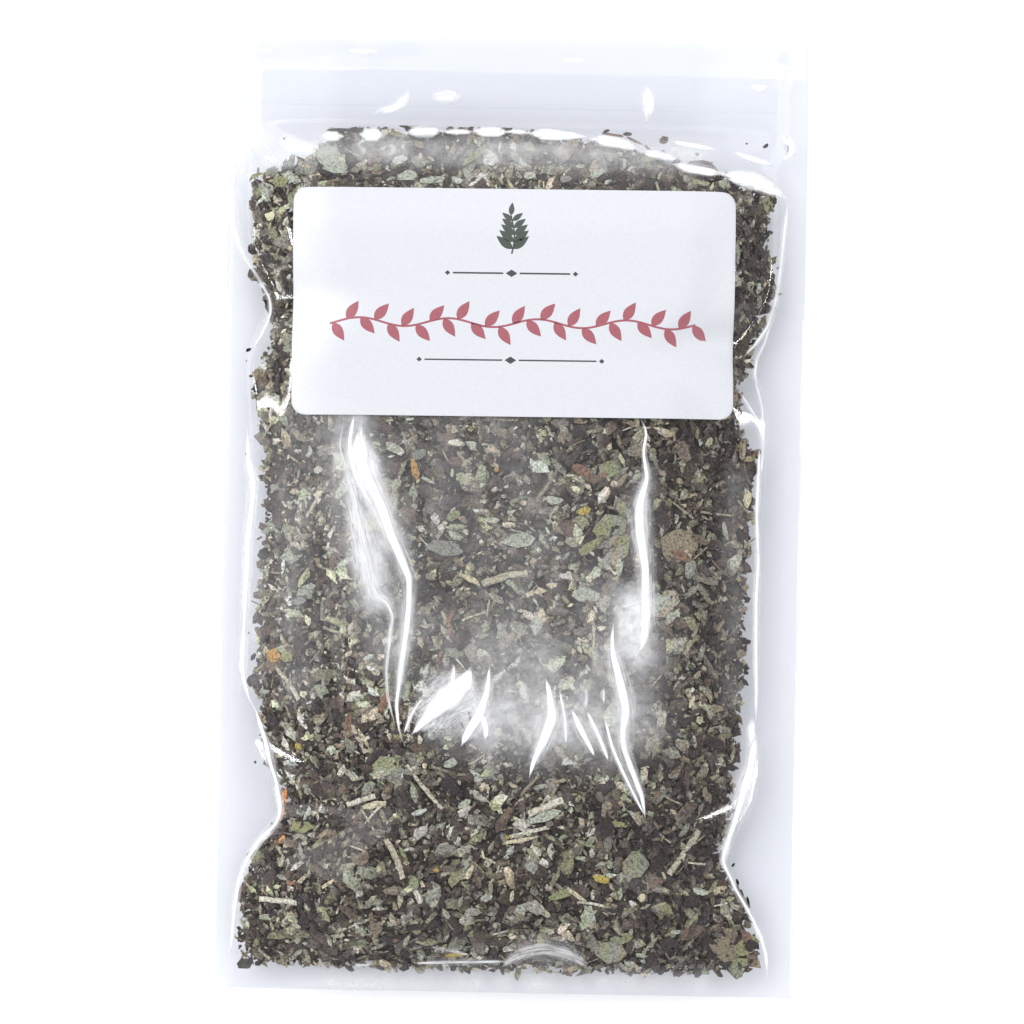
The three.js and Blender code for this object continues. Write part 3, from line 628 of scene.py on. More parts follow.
# ridges with painted highlights, a flat painted glow beside them, and flat painted flares
finish(makeCreases("filmCreases", creaseLines, creaseHighlightMaterial, 1.0, 0.1, 1.1), "film", "pouch")
finish(makeCreases("creaseGlow", creaseLines, flareMaterial, 0.0, 0.2, 3.4, 0.4), "film", "pouch")
finish(makeCreases("filmFlares", flareLines, flareMaterial, 0.05, 0.3, 1.45), "film", "pouch")


# the herb's outline, wavy as the cut leaf lies in the pouch

herbLeft = (
    (-96, 53), (-94, 55.2), (-81, 54.6), (-67, 50.5), (-60, 46.3), (-45, 50.5), (-27, 52.7), (10, 50.6),
    (33, 54.4), (50, 51.8), (61, 55.4), (80, 55.4),
)
herbRight = (
    (-96, 52), (-93, 53), (-81, 50), (-73, 45.2), (-60, 46), (-40, 48.4), (-15, 49.2), (0, 49.2),
    (17, 50.8), (26, 46.4), (34, 47.0), (46, 50.7), (61, 53.4), (80, 53.6),
)
herbTop = (
    (-56, 66), (-50, 70.4), (-44, 71.6), (-40, 76.2), (-37, 78.6), (-20, 79), (0, 78.8), (16, 77.2),
    (25, 75.4), (33, 72.6), (42, 70.4), (50, 67.8), (54, 65),
)
herbBottom = ((-56, -94.6), (-30, -95.2), (0, -95.6), (30, -95.4), (54, -94.4))


herbHeap = dict(
    low=-95.5, length=174.0, width=104.0, aside=0.6, ragged=0.9, raggedTop=0.8,
    step=1.5, coreIn=1.4, coreDepth=1.5, coreRough=1.0, backDepth=1.1, scatterRough=0.8,
)


def outline(table, at):
    places, values = zip(*table)
    return np.interp(at, places, values)


def herbPlaces(across, up, grow=0.0):  # from shares across and up to a place in the heap
    h = herbHeap
    guess = h["low"] + h["length"] * up
    left = np.minimum(outline(herbLeft, guess), reachAt(-1, guess) - h["aside"])
    right = np.minimum(outline(herbRight, guess), reachAt(1, guess) - h["aside"])
    left = left + h["ragged"] * waves(guess, guess * 0.0, 2.6, 11) + grow
    right = right + h["ragged"] * waves(guess, guess * 0.0, 2.6, 12) + grow
    x = -left + (left + right) * across
    low = outline(herbBottom, x) - grow
    high = outline(herbTop, x) + h["raggedTop"] * waves(x, x * 0.0, 2.8, 13) + grow
    return x, low + (high - low) * up


def roomAt(x, y):
    top, bottom = frontInside(x, y), backInside(x, y)
    return top, bottom, 0.5 * (top + bottom)


def makeCore():
    h = herbHeap
    columns, rows = int(h["width"] / h["step"]), int(h["length"] / h["step"])
    across, up = np.meshgrid(np.linspace(0.0, 1.0, columns), np.linspace(0.0, 1.0, rows))
    x, y = herbPlaces(across, up, -h["coreIn"])
    top, bottom, middle = roomAt(x, y)
    rough = 0.5 + 0.35 * waves(x, y, 2.2, 14) + 0.25 * waves(x, y, 4.4, 15)
    upper = np.maximum(top - h["coreDepth"] - h["coreRough"] * rough, middle + 0.05)
    lower = np.minimum(bottom + h["backDepth"] + 0.5 * rough, middle - 0.05)
    points, faces = closedSheet(x, y, upper, lower)
    # the core's darker colour is painted shade, seen in the gaps between the flakes
    piece = meshObject("sageCore", points, faces, coreShadeMaterial)
    addValues(piece, "tint", np.tile(0.5 + 0.5 * waves(x, y, 1.9, 16).ravel(), 2))
    return piece


finish(makeCore(), "herb", "cut_sage")


# flakes of leaf: a few shapes, scattered by geometry nodes

def flakeMesh(random, corners, rings, length, width, thick, curl, uneven=0.42):
    turns = (np.arange(corners) + random.uniform(-0.38, 0.38, corners)) / corners * 2 * np.pi
    reach = random.uniform(1.12 - uneven, 1.12, corners)
    rim = np.stack([0.5 * length * reach * np.cos(turns), 0.5 * width * reach * np.sin(turns)], axis=-1)
    levels = [rim * share for share in np.linspace(1.0, 1.0 / rings, rings)] + [rim.mean(axis=0)[None]]
    cup, twist = random.uniform(-curl, curl), random.uniform(-curl, curl)

    def bend(flat):
        return cup * (flat[:, 1] ** 2) / width + twist * flat[:, 0] * flat[:, 1] / length

    points, faces = [], []
    for sign in (1, -1):
        for level, flat in enumerate(levels):
            if level == 0 and sign < 0:
                continue  # both sides share the rim
            swell = thick * (0.0 if level == 0 else 0.5 + 0.12 * random.uniform(-1, 1, len(flat)))
            points.append(np.column_stack([flat, bend(flat) + sign * swell]))
    counts = np.cumsum([0] + [len(p) for p in points])
    top, under = [*range(rings + 1)], [0, *range(rings + 1, 2 * rings + 1)]
    for order, flip in ((top, False), (under, True)):
        for outer, inner in zip(order, order[1:]):
            a, b = counts[outer], counts[inner]
            for k in range(corners):
                n = (k + 1) % corners
                if inner == order[-1]:
                    face = [a + k, a + n, b]
                else:
                    face = [a + k, a + n, b + n, b + k]
                faces.append([int(v) for v in (face[::-1] if flip else face)])
    return np.concatenate(points), faces


def stalkMesh(random, length, width, sides=5, steps=3):
    bow, points = random.uniform(-0.05, 0.05) * length, []
    for k in range(steps + 1):
        share = k / steps - 0.5
        for m in range(sides):
            turn = 2 * np.pi * m / sides
            radius = 0.5 * width * random.uniform(0.8, 1.1)
            away = bow * (1 - 4 * share**2) + radius * np.cos(turn)
            points.append((share * length, away, 0.8 * radius * np.sin(turn)))
    return np.array(points), tubeFaces(0, steps + 1, sides)


def shapeSet(name, count, make):
    shelf = bpy.data.collections.new(name)
    for k in range(count):
        points, faces = make(np.random.default_rng(100 * len(name) + k))
        piece = meshObject(f"{name}{k}", points, faces, leafMaterial, False)
        scene.collection.objects.unlink(piece)
        shelf.objects.link(piece)
    return shelf


crumbShapes = shapeSet("crumb", 12, lambda r: flakeMesh(r, 5, 1, 1.0, r.uniform(0.4, 0.95), 0.4, 0.5))
chipShapes = shapeSet("chip", 14, lambda r: flakeMesh(r, 7, 2, 1.0, r.uniform(0.25, 0.75), 0.13, 0.6))
stalkShapes = shapeSet("stalk", 6, lambda r: stalkMesh(r, 1.0, r.uniform(0.06, 0.12)))


def scatterTree(material):
    tree = bpy.data.node_groups.new("scatter", "GeometryNodeTree")
    sockets = {}
    for title, kind in (
        ("Heap", "Geometry"), ("Shapes", "Collection"), ("Density", "Float"), ("Smallest", "Float"),
        ("Largest", "Float"), ("Tilt", "Float"), ("Depth", "Float"), ("Seed", "Int"),
    ):
        made = tree.interface.new_socket(title, in_out="INPUT", socket_type="NodeSocket" + kind)
        sockets[title] = made.identifier
    tree.interface.new_socket("Heap", in_out="OUTPUT", socket_type="NodeSocketGeometry")
    link = tree.links.new

    def add(kind, **settings):
        node = tree.nodes.new(kind)
        for key, value in settings.items():
            setattr(node, key, value)
        return node

    given, result = add("NodeGroupInput"), add("NodeGroupOutput")
    spread = add("GeometryNodeDistributePointsOnFaces")
    link(given.outputs["Heap"], spread.inputs["Mesh"])
    link(given.outputs["Density"], spread.inputs["Density"])
    link(given.outputs["Seed"], spread.inputs["Seed"])

    def chance(low, high, extra, kind="FLOAT"):
        node = add("FunctionNodeRandomValue", data_type=kind)
        first = {"FLOAT_VECTOR": 0, "FLOAT": 2, "INT": 4}[kind]
        for k, value in ((first, low), (first + 1, high)):
            if isinstance(value, bpy.types.NodeSocket):
                link(value, node.inputs[k])
            else:
                node.inputs[k].default_value = value
        seed = add("ShaderNodeMath", operation="ADD")
        link(given.outputs["Seed"], seed.inputs[0])
        seed.inputs[1].default_value = extra
        link(seed.outputs[0], node.inputs["Seed"])
        return node.outputs[{"FLOAT_VECTOR": 0, "FLOAT": 1, "INT": 2}[kind]]

    def vector(tilt, turn):
        node = add("ShaderNodeCombineXYZ")
        for k in (0, 1):
            link(tilt, node.inputs[k])
        node.inputs[2].default_value = turn
        return node.outputs[0]

    negative = add("ShaderNodeMath", operation="MULTIPLY")
    link(given.outputs["Tilt"], negative.inputs[0])
    negative.inputs[1].default_value = -1.0
    least, most = vector(negative.outputs[0], -math.pi), vector(given.outputs["Tilt"], math.pi)
    lean = chance(least, most, 1, "FLOAT_VECTOR")
    asRotation = add("FunctionNodeEulerToRotation")
    link(lean, asRotation.inputs[0])
    turned = add("FunctionNodeRotateRotation", rotation_space="LOCAL")
    link(spread.outputs["Rotation"], turned.inputs[0])
    link(asRotation.outputs[0], turned.inputs[1])

    small = add("ShaderNodeMath", operation="POWER")  # more small ones than large
    link(chance(0.0, 1.0, 2), small.inputs[0])
    small.inputs[1].default_value = 1.8
    size = add("ShaderNodeMapRange")
    link(small.outputs[0], size.inputs["Value"])
    link(given.outputs["Smallest"], size.inputs["To Min"])
    link(given.outputs["Largest"], size.inputs["To Max"])

    sunk = add("ShaderNodeVectorMath", operation="SCALE")
    link(spread.outputs["Normal"], sunk.inputs[0])
    deep = add("ShaderNodeMath", operation="MULTIPLY")
    link(chance(-1.0, 1.0, 3), deep.inputs[0])
    link(given.outputs["Depth"], deep.inputs[1])
    link(deep.outputs[0], sunk.inputs["Scale"])
    moved = add("GeometryNodeSetPosition")
    link(spread.outputs["Points"], moved.inputs["Geometry"])
    link(sunk.outputs[0], moved.inputs["Offset"])

    shapes = add("GeometryNodeCollectionInfo")
    link(given.outputs["Shapes"], shapes.inputs["Collection"])
    shapes.inputs["Separate Children"].default_value = True
    shapes.inputs["Reset Children"].default_value = True
    placed = add("GeometryNodeInstanceOnPoints")
    link(moved.outputs[0], placed.inputs["Points"])
    link(shapes.outputs[0], placed.inputs["Instance"])
    placed.inputs["Pick Instance"].default_value = True
    link(chance(0, 60, 4, "INT"), placed.inputs["Instance Index"])
    link(turned.outputs[0], placed.inputs["Rotation"])
    link(size.outputs["Result"], placed.inputs["Scale"])

    tinted = add("GeometryNodeStoreNamedAttribute", data_type="FLOAT", domain="INSTANCE")
    link(placed.outputs[0], tinted.inputs["Geometry"])
    tinted.inputs["Name"].default_value = "tint"
    link(chance(0.0, 1.0, 5), tinted.inputs["Value"])
    real = add("GeometryNodeRealizeInstances")
    link(tinted.outputs[0], real.inputs[0])
    painted = add("GeometryNodeSetMaterial")
    painted.inputs["Material"].default_value = material
    link(real.outputs[0], painted.inputs["Geometry"])
    link(painted.outputs[0], result.inputs[0])
    return tree, sockets


def emitter(side, depth, rough, seed):  # the open sheet that flakes are scattered over
    across, up = np.meshgrid(np.linspace(0.0, 1.0, 60), np.linspace(0.0, 1.0, 96))
    x, y = herbPlaces(across, up)
    top, bottom, middle = roomAt(x, y)
    lumps = 0.5 + 0.5 * waves(x, y, 3.4, seed)
    if side > 0:
        z = np.maximum(top - depth - rough * lumps, middle + 0.1)
    else:
        z = np.minimum(bottom + depth + rough * lumps, middle - 0.1)
    points = np.stack([x, y, z], axis=-1).reshape(-1, 3)
    return meshObject("emitter", points, gridFaces(*x.shape, 0, side < 0), leafMaterial)


def scatter(name, holder, material, shapes, density, smallest, largest, tilt, depth, seed):
    tree, sockets = scatterTree(material)
    modifier = holder.modifiers.new("scatter", "NODES")
    modifier.node_group = tree
    values = {"Shapes": shapes, "Density": density, "Smallest": smallest, "Largest": largest, "Tilt": tilt,
              "Depth": depth * metre, "Seed": seed}
    for title, value in values.items():
        modifier[sockets[title]] = value
    graph = bpy.context.evaluated_depsgraph_get()
    ready = holder.evaluated_get(graph)
    mesh = bpy.data.meshes.new_from_object(ready, preserve_all_data_layers=True, depsgraph=graph)
    holder.modifiers.remove(modifier)
    bpy.data.objects.remove(holder)
    piece = bpy.data.objects.new(name, mesh)
    scene.collection.objects.link(piece)
    return tuckIn(piece)


tucked = dict(
    underZip=4.6, reach=55.7, least=0.08, spread=0.3,
    darkerFrom=14.0, darkerOver=20.0, darker=0.17, lowFrom=-48.0, lowOver=16.0, darkerLow=0.06,
)


def tuckIn(piece):  # presses flat what would poke through the film; the right and the foot are darker
    t, mesh = tucked, piece.data
    count = len(mesh.vertices)
    spots, tint = np.empty(count * 3), np.empty(count)
    mesh.vertices.foreach_get("co", spots)
    mesh.attributes["tint"].data.foreach_get("value", tint)
    spots = spots.reshape(-1, 3) / metre
    spots[:, 1] = np.minimum(spots[:, 1], pouch["zipAt"] - t["underZip"])
    spots[:, 0] = np.clip(spots[:, 0], -t["reach"], t["reach"])
    top, bottom, middle = roomAt(spots[:, 0], spots[:, 1])
    share = t["least"] + t["spread"] * (tint * 7.3 % 1.0)  # each flake at its own height
    ceiling = np.maximum(top - share, middle + 0.05 * tint)
    ground = np.minimum(bottom + share, middle - 0.05 * tint)
    spots[:, 2] = np.clip(spots[:, 2], ground, ceiling)
    mesh.vertices.foreach_set("co", (spots * metre).ravel())
    darker = t["darker"] * smooth((spots[:, 0] - t["darkerFrom"]) / t["darkerOver"])
    darker = darker + t["darkerLow"] * smooth((t["lowFrom"] - spots[:, 1]) / t["lowOver"])
    if piece.name != "strayBits":  # these have their own tones
        mesh.attributes["tint"].data.foreach_set("value", np.maximum(tint - darker, 0.0))
    mesh.update()
    return piece


# name, side, material, shapes, flakes per mm2, sizes, tilt, depth below the film, spread, seed
herbLayers = (
    ("sageCrumbs", 1, leafMaterial, crumbShapes, 0.98, (0.9, 3.1), 0.7, 0.9, 0.55, 41),
    ("sageGrit", 1, gritMaterial, crumbShapes, 0.55, (0.5, 1.5), 0.9, 0.7, 0.5, 47),
    ("sageChips", 1, leafMaterial, chipShapes, 0.215, (2.0, 6.6), 0.4, 0.55, 0.4, 42),
    ("sagePaleChips", 1, paleMaterial, chipShapes, 0.03, (1.6, 5.2), 0.3, 0.42, 0.3, 43),
    ("sageStalks", 1, strawMaterial, stalkShapes, 0.012, (3.0, 8.0), 0.16, 0.5, 0.3, 44),
    ("sageBackCrumbs", -1, leafMaterial, crumbShapes, 0.42, (1.0, 3.0), 0.5, 0.8, 0.5, 45),
    ("sageBackChips", -1, leafMaterial, chipShapes, 0.07, (2.0, 5.6), 0.25, 0.5, 0.3, 46),
)
for name, side, material, shapes, density, sizes, tilt, depth, spread, seed in herbLayers:
    sheet = emitter(side, depth, herbHeap["scatterRough"], seed)
    piece = scatter(name, sheet, material, shapes, density / metre**2, *sizes, tilt, spread, seed)
    finish(piece, "herb", "cut_sage")


# the bits that lie loose against the front film: x, y, direction, length, width

looseStems = (
    (-30.9, -46.2, -63, 8.9, 1.1), (-16.8, -57.0, -50, 11.6, 0.9), (-46.4, -81.5, -2, 8.6, 1.2),
    (-29.8, -60.2, 21, 6.3, 1.2), (-22.7, -71.8, -66, 8.9, 1.3), (-45.8, -71.5, 78, 5.8, 1.0),
    (-46.0, -36.2, -50, 9.1, 1.0), (37.9, -38.6, -67, 5.8, 1.2), (8.2, -60.6, 24, 7.6, 1.6),
    (5.0, -65.8, 15, 8.4, 0.9), (37.0, -69.8, 56, 11.0, 1.5), (37.3, -26.0, 67, 6.9, 1.0),
    (-1.0, -13.9, 15, 9.3, 1.6), (-40.0, 1.6, 59, 8.6, 0.8),
)
looseLeaves = (  # and how light
    (-29.8, -2.5, 4, 6.6, 3.4, 0.5), (21.0, -2.6, 20, 6.2, 5.2, 0.3), (21.2, -9.0, 38, 8.4, 3.6, 0.35),
    (15.9, -17.1, -6, 5.6, 3.4, 0.6), (32.0, -18.6, 50, 7.6, 4.4, 0.6), (34.6, -6.4, 20, 9.4, 7.6, 0.05),
    (26.6, -72.3, 70, 6.6, 5.6, 0.3), (-25.4, -53.3, 28, 7.4, 4.6, 0.35), (22.4, -90.6, 0, 7.4, 5.2, 0.3),
    (46.2, -90.0, -20, 7.6, 5.0, 0.1),
)

placedBits = (  # x, y, direction, length, width, tone
    (30.0, 77.2, 10, 2.3, 1.9, 0.24), (51.2, 76.6, 40, 1.5, 0.83, 0.02), (47.2, 76.9, 0, 0.62, 0.41, 0.02),
    (36.9, 74.3, 0, 1, 0.83, 0.24), (-48.5, 76.1, 0, 0.62, 0.62, 0.24), (-36.7, 78.1, 1, 6.4, 1, 0.02),
    (-27.8, 78.7, 12, 1.7, 0.83, 0.02), (-25.0, 77.3, 170, 5, 1, 0.8), (-23.8, 79.2, 0, 2.1, 0.62, 0.02),
    (19.4, 78.2, -8, 5, 0.73, 0.36), (23.9, 77.0, -28, 4.1, 0.73, 0.36), (26.7, 75.4, -40, 2.1, 0.62, 0.36),
    (18.1, 79.0, 30, 1.5, 0.83, 0.02), (22.5, 78.4, 0, 1.9, 1, 0.02), (-55.3, 10.7, 0, 0.62, 0.41, 0.02),
    (-52.1, -6.7, 30, 1.5, 0.52, 0.02), (-54.0, -26.4, 0, 0.62, 0.41, 0.02),
    (-52.9, -31.2, 60, 1.9, 1, 0.02), (-53.2, -36.2, 80, 3.1, 2.3, 0.02),
    (-52.2, -53.2, 0, 0.62, 0.62, 0.36), (-54.1, -75.2, 0, 1, 0.62, 0.02), (-53.7, -81.8, 20, 1.2, 1, 0.02),
    (-53.5, -94.9, 10, 3.5, 2.7, 0.02), (-56.7, 60.5, 85, 5.2, 2.1, 0.02),
    (-56.8, 55.5, 0, 0.62, 0.62, 0.02), (-54.5, 53.1, 80, 2.5, 1, 0.02), (-55.3, 32.3, 20, 1.7, 0.83, 0.02),
    (-55.7, 30.0, 0, 0.62, 0.41, 0.02), (-54.6, 26.9, 0, 0.83, 0.62, 0.02), (-53.5, 25.3, 70, 2.7, 1, 0.02),
    (-54.1, 22.4, 0, 0.83, 0.62, 0.8), (-52.4, 20.7, 75, 4.1, 1.9, 0.8), (-55.2, 68.2, 22, 5.2, 0.83, 0.8),
    (-53.9, 69.1, 85, 2.5, 0.62, 0.12), (54.3, 51.4, 30, 0.83, 0.41, 0.02),
    (57.6, -22.9, 0, 0.52, 0.41, 0.02), (47.4, -72.6, 60, 1, 0.62, 0.02),
    (48.3, -76.1, -70, 1.7, 0.62, 0.02), (49.1, -78.4, -70, 1.7, 0.52, 0.02),
    (50.6, -80.0, -75, 2.7, 0.62, 0.02), (44.4, -67.1, 0, 0.83, 0.62, 0.24),
    (42.9, -68.8, 0, 0.62, 0.41, 0.24), (50.6, -87.7, -55, 5, 1.9, 0.36), (48.8, 3.6, 85, 4.1, 1.9, 0.99),
    (52.2, 64.9, 80, 5, 2.9, 0.8), (50.4, -89.2, 20, 5.4, 4.1, 0.8), (49.2, -92.7, 5, 4.6, 2.1, 0.8),
    (-46.4, -62.2, 80, 8.3, 1.5, 0.5), (-46.1, -68.8, 60, 1.9, 1.2, 0.5), (0.4, -66.9, 0, 0.93, 0.93, 0.7),
    (-20.0, 7.9, -75, 5, 1.7, 0.6), (-3.2, 8.4, 0, 1.2, 1.2, 0.6), (-20.7, -71.0, -62, 5.4, 0.83, 0.8),
    (-18.6, -76.6, -75, 3.3, 1.9, 0.8), (-14.0, -74.0, 0, 1.2, 1, 0.6), (-31.4, -77.5, 5, 2.7, 0.83, 0.36),
    (-43.9, -77.5, -5, 2.5, 1, 0.36), (-10.0, -92.0, 8, 5.4, 1, 0.7), (-12.3, -22.3, 65, 3.1, 1.2, 0.36),
    (0.4, -13.3, 14, 8.3, 1.2, 0.8), (14.8, 0.2, 20, 2.9, 1.7, 0.7), (18.6, -3.0, 35, 4.6, 2.9, 0.8),
    (16.0, -7.2, 35, 6.6, 1.9, 0.8), (-12.3, -25.0, 70, 3.3, 1, 0.36), (-1.5, -26.2, -40, 2.5, 1, 0.12),
    (-14.3, -30.2, 60, 3.3, 0.83, 0.36), (-22.5, -89.1, 10, 2.5, 0.83, 0.36),
    (18.8, 7.8, 0, 1.5, 1.2, 0.36), (14.1, 8.7, -20, 5, 2.1, 0.36), (-2.3, -6.1, 0, 1.2, 1, 0.36),
    (-43.0, -49.4, 0, 1.7, 1.5, 0.7), (-33.8, -38.9, -55, 2.5, 1, 0.99), (-39.1, 72.5, -75, 6.2, 5.4, 0.9),
    (-37.6, 70.0, 0, 5.4, 2.9, 0.9), (-43.4, 69.9, 20, 5.4, 3.3, 0.12), (-51.0, 69.3, 35, 2.9, 2.1, 0.12),
    (-48.9, 67.1, 0, 3.7, 2.5, 0.8), (-53.9, 64.9, 0, 2.5, 2.5, 0.8), (-29.7, 72.2, 70, 5, 3.3, 0.24),
    (-22.8, 68.6, 10, 4.6, 2.5, 0.9), (-17.8, 67.7, 8, 6.2, 1.7, 0.9), (-9.0, 73.1, 40, 7.1, 1.7, 0.8),
    (-3.8, 72.7, -50, 6.2, 1, 0.24), (17.0, 72.5, -70, 6.2, 1.9, 0.12), (26.9, 73.3, 20, 4.1, 1.7, 0.8),
    (2.5, 69.1, 15, 2.9, 1.7, 0.9), (9.8, 68.4, 0, 2.5, 1.7, 0.12), (16.4, 69.8, 30, 3.7, 1.5, 0.9),
    (-19.2, 11.2, 15, 3.3, 2.5, 0.12), (-13.4, -8.0, -5, 7.5, 3.7, 0.12), (1.7, -6.0, 5, 7.1, 2.9, 0.9),
    (19.9, 8.8, 60, 4.1, 4.1, 0.8), (15.6, -17.0, -5, 5.4, 3.3, 0.9), (6.8, -15.9, 22, 7.5, 1.7, 0.99),
    (-8.3, -14.1, -25, 5.8, 1.2, 0.99), (-29.3, -3.7, 8, 7.1, 2.5, 0.99), (-34.8, 4.1, 62, 6.2, 2.3, 0.9),
    (-30.6, 8.9, 0, 3.3, 2.5, 0.9), (-11.7, 9.9, 0, 3.3, 2.1, 0.24), (16.2, 7.1, -15, 5.4, 2.1, 0.24),
    (8.4, 2.4, -10, 4.1, 1.9, 0.9), (-3.8, -2.0, 0, 3.3, 1.5, 0.9), (-11.9, -1.3, 30, 3.7, 2.1, 0.8),
    (-23.4, -6.1, 80, 3.7, 0.83, 0.99), (-17.4, 6.0, -25, 3.3, 0.83, 0.9), (30.1, -18.8, 40, 6.2, 3.3, 0.9),
    (33.7, -21.0, 20, 3.7, 2.1, 0.9), (24.9, -14.9, -30, 2.9, 1.9, 0.12),
    (-22.1, -54.7, 10, 6.2, 3.3, 0.12), (-27.2, -61.0, 15, 6.2, 1.5, 0.99),
    (-42.2, -66.2, 10, 5.4, 2.5, 0.8), (-11.4, -52.0, 10, 3.3, 2.1, 0.9), (-8.5, -60.2, 30, 3.3, 1.5, 0.9),
    (8.2, -62.4, 22, 7.9, 2.1, 0.9), (-12.0, -69.8, 0, 5, 2.5, 0.12), (-7.2, -74.3, 62, 3.7, 1.2, 0.99),
    (3.1, -67.5, 12, 8.3, 1, 0.99), (16.6, -68.0, -20, 4.6, 1, 0.8), (22.7, -63.8, -5, 5.4, 1.2, 0.8),
    (19.8, -75.2, -10, 4.1, 1.7, 0.7), (14.7, -78.4, -35, 5, 1, 0.99), (28.2, -78.8, 0, 1.9, 1.9, 0.99),
    (1.6, -79.1, 85, 2.9, 0.83, 0.99), (3.3, -82.0, 0, 2.5, 2.5, 0.9), (11.6, -78.5, 20, 5.4, 1.9, 0.8),
    (35.1, -8.5, -30, 5.4, 2.1, 0.36), (39.2, -5.3, -30, 4.1, 1.9, 0.24), (37.8, -38.6, 70, 2.9, 1, 0.99),
    (-29.5, -47.1, -60, 5, 1, 0.99), (-36.2, -77.3, 35, 4.1, 0.83, 0.99),
    (-34.1, -77.3, -40, 4.6, 0.83, 0.24), (-48.5, -30.9, 0, 3.3, 3.3, 0.6),
    (-45.8, -30.8, 0, 2.9, 2.5, 0.8), (-43.5, -19.4, 20, 3.7, 1.7, 0.12), (-39.9, 7.7, 20, 2.5, 1.7, 0.9),
    (-42.0, 11.4, 70, 2.5, 1.7, 0.9), (31.9, -1.3, 70, 4.1, 1.2, 0.24), (39.0, 7.1, 0, 2.5, 1.7, 0.8),
    (34.7, 13.3, 30, 4.1, 1.2, 0.24), (-25.5, -39.8, 70, 4.1, 1.7, 0.36), (-32.7, -44.1, 80, 5, 1.7, 0.36),
    (22.6, -5.6, 30, 4.1, 1.9, 0.8), (11.8, -91.0, -5, 6.2, 2.9, 0.24), (24.2, -87.6, 10, 5.4, 2.5, 0.8),
    (38.7, -86.3, 10, 6.2, 2.9, 0.24), (40.6, -77.9, -15, 3.7, 1.7, 0.9), (31.2, -76.0, 30, 4.1, 1.7, 0.24),
    (30.2, 77.5, 0, 1, 0.83, 0.02),
)


def laidUnderFilm(points, x, y, degrees, depth):
    turn = math.radians(degrees)
    u, v = points[:, 0], points[:, 1]
    px = x + u * math.cos(turn) - v * math.sin(turn)
    py = y + u * math.sin(turn) + v * math.cos(turn)
    return np.column_stack([px, py, frontInside(px, py) - depth + points[:, 2]])


def looseBits(name, bits, material, make, depth, seed):
    allPoints, allFaces, tints = [], [], []
    for k, (x, y, degrees, length, width, *tone) in enumerate(bits):
        random = np.random.default_rng(seed + k)
        points, faces = make(random, length, width)
        start = sum(len(p) for p in allPoints)
        allPoints.append(laidUnderFilm(points, x, y, degrees, depth))
        allFaces += [[v + start for v in face] for face in faces]
        tints += (tone or [random.uniform(0.35, 1.0)]) * len(points)
    piece = meshObject(name, np.concatenate(allPoints), allFaces, material, False)
    addValues(piece, "tint", tints)
    return tuckIn(piece)


def stemShape(random, length, width):
    return stalkMesh(random, length, width, 9, 9)


def leafShape(random, length, width):
    return flakeMesh(random, 8, 4, length, width, 0.3, 0.3, 0.3)


def bitShape(random, length, width):
    return flakeMesh(random, 7, 2, length, width, min(0.25 * width, 0.3), 0.15, 0.3)


stems = looseBits("looseStems", looseStems, strawMaterial, stemShape, 0.75, 60)
finish(stems, "straw", *[f"stem_piece_{k:02d}" for k in range(1, 15)])
leaves = looseBits("looseLeaves", looseLeaves, paleMaterial, leafShape, 0.5, 80)
finish(leaves, "pale_leaf", *[f"leaf_piece_{k:02d}" for k in range(1, 11)])
bits = looseBits("strayBits", placedBits, bitMaterial, bitShape, 0.28, 120)
finish(bits, "herb", "cut_sage")
print("herb laid")


# the paper label and its printed sprig

label = dict(width=91.0, height=46.8, x=-0.4, y=42.65, corner=2.8, thick=0.13, columns=76, rows=40, turn=0.4)


def turnedWithLabel(x, y):  # the label was stuck on a little askew
    angle = math.radians(label["turn"])
    u, v = x - label["x"], y - label["y"]
    c, s = math.cos(angle), math.sin(angle)
    return label["x"] + u * c - v * s, label["y"] + u * s + v * c


def labelBase(x, y):
    return frontInside(x, y) + filmThickness + 0.1


def makeLabel():
    s = label
    bends = s["corner"] * (1 - np.cos(np.linspace(0.0, np.pi / 2, 7)))
    inner = np.linspace(s["corner"], s["height"] - s["corner"], s["rows"])[1:-1]
    up = np.concatenate([bends, inner, s["height"] - bends[::-1]])
    corner = np.maximum(0.0, s["corner"] - np.minimum(up, s["height"] - up))
    half = s["width"] / 2 - s["corner"] + np.sqrt(np.maximum(0.0, s["corner"] ** 2 - corner**2))
    x = s["x"] + half[:, None] * np.linspace(-1.0, 1.0, s["columns"])[None]
    y = np.repeat((s["y"] - s["height"] / 2 + up)[:, None], s["columns"], axis=1)
    x, y = turnedWithLabel(x, y)
    base = labelBase(x, y)
    return closedSheet(x, y, base + s["thick"], base)


def makePaper():
    paint = Paint("labelPaper")
    fibre = paint.noise(1500.0, 4.0, 0.7)
    colour = paint.ramp(fibre, ((0.3, rgb("d3d4da")), (0.7, rgb("dadbe1"))))
    return paint.done(paint.solid(colour, 0.45, paint.bump(fibre, 0.00002)))


labelPiece = meshObject("labelPaper", *makeLabel(), makePaper())
finish(labelPiece, "paper", "label")


def makeInk(name, code):
    paint = Paint(name)
    fleck = paint.noise(2500.0, 3.0, 0.7)
    dark = tuple(0.82 * c for c in rgb(code))
    colour = paint.ramp(fleck, ((0.35, rgb(code)), (0.75, dark)))
    return paint.done(paint.solid(colour, 0.5))


redInk = makeInk("redInk", "a8606a")
darkInk = makeInk("darkInk", "47484b")
greenInk = makeInk("greenInk", "4b534c")


